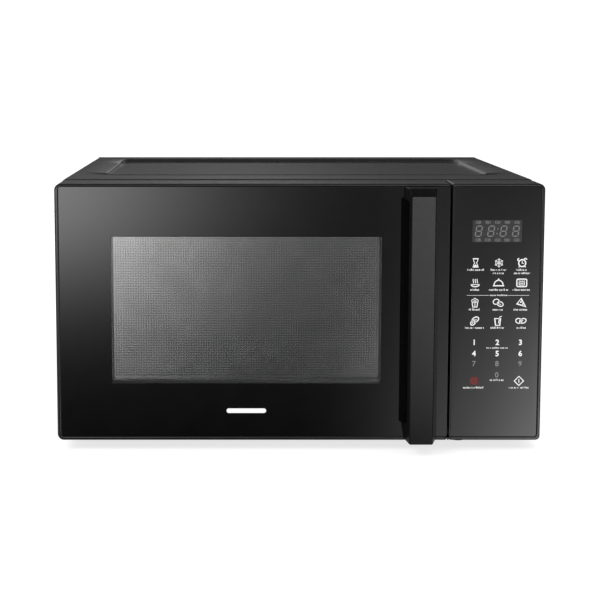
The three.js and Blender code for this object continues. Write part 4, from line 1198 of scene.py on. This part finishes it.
# ---- CAD nodes that stay
def smoothing_group():
    """Geometry nodes that shade a CAD node smooth, with its real edges left sharp."""
    group = bpy.data.node_groups.new("shade_by_angle", "GeometryNodeTree")
    for way in ("INPUT", "OUTPUT"):
        group.interface.new_socket("Geometry", in_out=way, socket_type="NodeSocketGeometry")
    graph = Nodes(group)
    source = graph.node("NodeGroupInput").outputs[0]
    clean = graph.node("GeometryNodeRemoveAttribute", {"Geometry": source, "Name": "custom_normal"})
    faces = graph.node("GeometryNodeSetShadeSmooth", {"Geometry": clean.outputs[0]})
    angle = graph.node("GeometryNodeInputMeshEdgeAngle").outputs["Unsigned Angle"]
    small = graph.node("FunctionNodeCompare", {"A": angle, "B": math.radians(32)}, operation="LESS_EQUAL")
    sockets = {"Geometry": faces.outputs[0], "Shade Smooth": small.outputs[0]}
    edges = graph.node("GeometryNodeSetShadeSmooth", sockets, domain="EDGE")
    graph.node("NodeGroupOutput", {0: edges.outputs[0]})
    return group


SMOOTHING = smoothing_group()

KEPT = {
    "zinc": "base_plate rear_panel waveguide_duct magnetron high_voltage_capacitor fan_motor grill_reflector "
    "turntable_motor upper_hinge_bracket lower_hinge_bracket",
    "steel": "cover_screw_left cover_screw_right fan_shaft turntable_shaft latch_spring",
    "enamel": "front_plate oven_cavity cavity_back grill_guard",
    "black": "rear_spacer high_voltage_diode roller_ring roller_1 roller_2 roller_3 choke_cover "
    "primary_switch monitor_switch secondary_switch display_module",
    "white": "fan_housing fan_blade air_duct drive_coupler lower_hinge_bush upper_hinge_bush latch_hooks "
    "latch_housing",
    "rubber": "cord_gland",
    "mica": "waveguide_cover",
    "windings": "high_voltage_transformer",
    "circuit": "noise_filter_board control_board",
    "clear": "oven_lamp",
    "inner": "inner_window",
    "quartz": "quartz_heater_front quartz_heater_rear",
}
EDGE_WIDTH = {"fan_housing": 0.6, "rear_spacer": 1.2, "drive_coupler": 0.8, "choke_cover": 0.35}
PLAIN = {"latch_spring", "inner_window", "quartz_heater_front", "quartz_heater_rear", "waveguide_cover"}


def keep(node, look):
    """A CAD node as it is, with welded corners, eased edges and a procedural finish."""
    piece = frame["nodes"][node]
    piece.data.materials.clear()
    piece.data.materials.append(LOOKS[look])
    modify(piece, "weld", "WELD", merge_threshold=0.02 * MM)
    if node not in PLAIN:
        modify(piece, "flat", "DECIMATE", decimate_type="DISSOLVE", angle_limit=math.radians(1))
        width, sharp = EDGE_WIDTH.get(node, 0.25) * MM, math.radians(40)
        modify(piece, "edges", "BEVEL", width=width, segments=2, limit_method="ANGLE", angle_limit=sharp)
    modify(piece, "shade", "NODES", node_group=SMOOTHING)
    MADE.append(piece)


for look, names in KEPT.items():
    for node in names.split():
        keep(node, look)


# ---- floor, light and camera
def make_floor():
    mesh = bpy.data.meshes.new("floor")
    size = 12
    corners = [(size * u, size * v, 0) for u, v in ((-1, -1), (1, -1), (1, 1), (-1, 1))]
    mesh.from_pydata(corners, [], [(0, 1, 2, 3)])
    look = Look("floor_paper", Specular_IOR_Level=0.0, Roughness=1.0, Emission_Strength=0.74)
    look.colour(look.noise(2, 2), grey(0.3), grey(0.32))
    look.shader.inputs["Emission Color"].default_value = (1, 1, 1, 1)
    mesh.materials.append(look.material)
    floor = add_object("floor", mesh)
    floor.visible_glossy = False


class Sky(Nodes):
    """Math nodes of the studio's surroundings."""

    def __init__(self):
        world = bpy.data.worlds.new("studio")
        world.use_nodes = True
        bpy.context.scene.world = world
        super().__init__(world.node_tree)

    def math(self, operation, *values):
        return self.node("ShaderNodeMath", dict(enumerate(values)), operation=operation).outputs[0]

    def glow(self, azimuth, elevation, at, reach):
        """A soft patch at a direction, in degrees, falling off over its reach."""
        total = None
        for angle, centre, width in zip((azimuth, elevation), at, reach):
            off = self.math("DIVIDE", self.math("SUBTRACT", angle, math.radians(centre)), math.radians(width))
            square = self.math("MULTIPLY", off, off)
            total = square if total is None else self.math("ADD", total, square)
        return self.math("EXPONENT", self.math("MULTIPLY", total, -0.5))


def make_surroundings():
    """White to the camera, soft and even to matt surfaces, and dark with soft patches in reflections."""
    sky = Sky()
    direction = sky.node("ShaderNodeTexCoord").outputs["Generated"]
    x, y, z = sky.node("ShaderNodeSeparateXYZ", {0: direction}).outputs
    ahead = sky.math("ARCTAN2", x, sky.math("MULTIPLY", y, -1.0))
    behind = sky.math("ARCTAN2", x, y)
    elevation = sky.math("ARCSINE", z)
    patches = [
        (-0.14, ahead, (0, -2), (34, 7)),
        (-0.34, ahead, (0, -22), (34, 9)),
        (5.0, ahead, (-11.5, -5.5), (5.9, 3.25)),
        (6.8, ahead, (18, -22), (4.2, 6.5)),
        (0.2, ahead, (9.3, -11), (1.3, 9)),
        (0.14, ahead, (13, -9), (3.2, 7)),
        (0.2, ahead, (8.3, -17.5), (2.2, 4)),
        (2.2, ahead, (30, -13), (5.5, 10)),
        (-0.36, ahead, (0, 66), (70, 22)),
        (2.6, ahead, (8, 15), (9, 5)),
        (-0.34, ahead, (82, 0), (23, 50)),
        (-0.34, ahead, (-86, 0), (20, 50)),
        (-0.5, behind, (0, -2.5), (70, 7.25)),
        (0.25, behind, (-7, 10.4), (6, 1.5)),
        (0.8, behind, (0, 8.6), (3.5, 0.7)),
        (-0.3, behind, (0, 46), (70, 17)),
        (-0.36, ahead, (0, -70), (400, 22)),
        (1.3, ahead, (-58, -20), (13, 13)),
        (0.9, behind, (-48, 30), (20, 13)),
        (0.8, behind, (54, -18), (15, 15)),
    ]
    dim, darkest, soft_white = 0.36, 0.004, 1.15
    seen = dim
    for strength, azimuth, at, reach in patches:
        glow = sky.glow(azimuth, elevation, at, reach)
        seen = sky.math("ADD", sky.math("MULTIPLY", glow, strength), seen)
    seen = sky.math("MAXIMUM", seen, darkest)
    path = sky.node("ShaderNodeLightPath").outputs
    background = sky.tree.nodes["Background"]
    mirrored = sky.math("MULTIPLY", path["Is Glossy Ray"], seen)
    soft = sky.math("MULTIPLY", sky.math("SUBTRACT", 1.0, path["Is Glossy Ray"]), soft_white)
    sky.link(sky.math("ADD", soft, mirrored), background.inputs["Strength"])
    background.inputs["Color"].default_value = (1, 1, 1, 1)
    bpy.context.scene.world.cycles.sampling_method = "NONE"


def area_light(name, place, target, size, power):
    lamp = bpy.data.lights.new(name, "AREA")
    lamp.shape = "RECTANGLE"
    lamp.size, lamp.size_y = size
    lamp.energy = power
    holder = add_object(name, lamp)
    holder.location = place
    holder.rotation_mode = "QUATERNION"
    holder.rotation_quaternion = (Vector(target) - Vector(place)).to_track_quat("-Z", "Y")
    holder.visible_glossy = False


def make_camera():
    """The photographed viewpoint, with part of its downward look taken as shift."""
    data = bpy.data.cameras.new("camera")
    data.sensor_width = 36
    data.lens = 71.7
    data.shift_x = 0.0931
    data.shift_y = -0.1981
    camera = add_object("camera", data)
    camera.location = (-0.061, -1.499, 0.426)
    camera.rotation_euler = (math.radians(90 - 5.4), 0, 0)
    bpy.context.scene.camera = camera


flatten_shading()
make_floor()
make_surroundings()
area_light("softbox_left", (-1.6, -1.5, 1.9), (0, 0, 0.15), (1.4, 1.0), 38)
area_light("softbox_top", (0.3, 0.3, 2.4), (0, 0, 0.2), (1.6, 1.2), 22)
make_camera()
bpy.context.scene.view_settings.view_transform = "Standard"
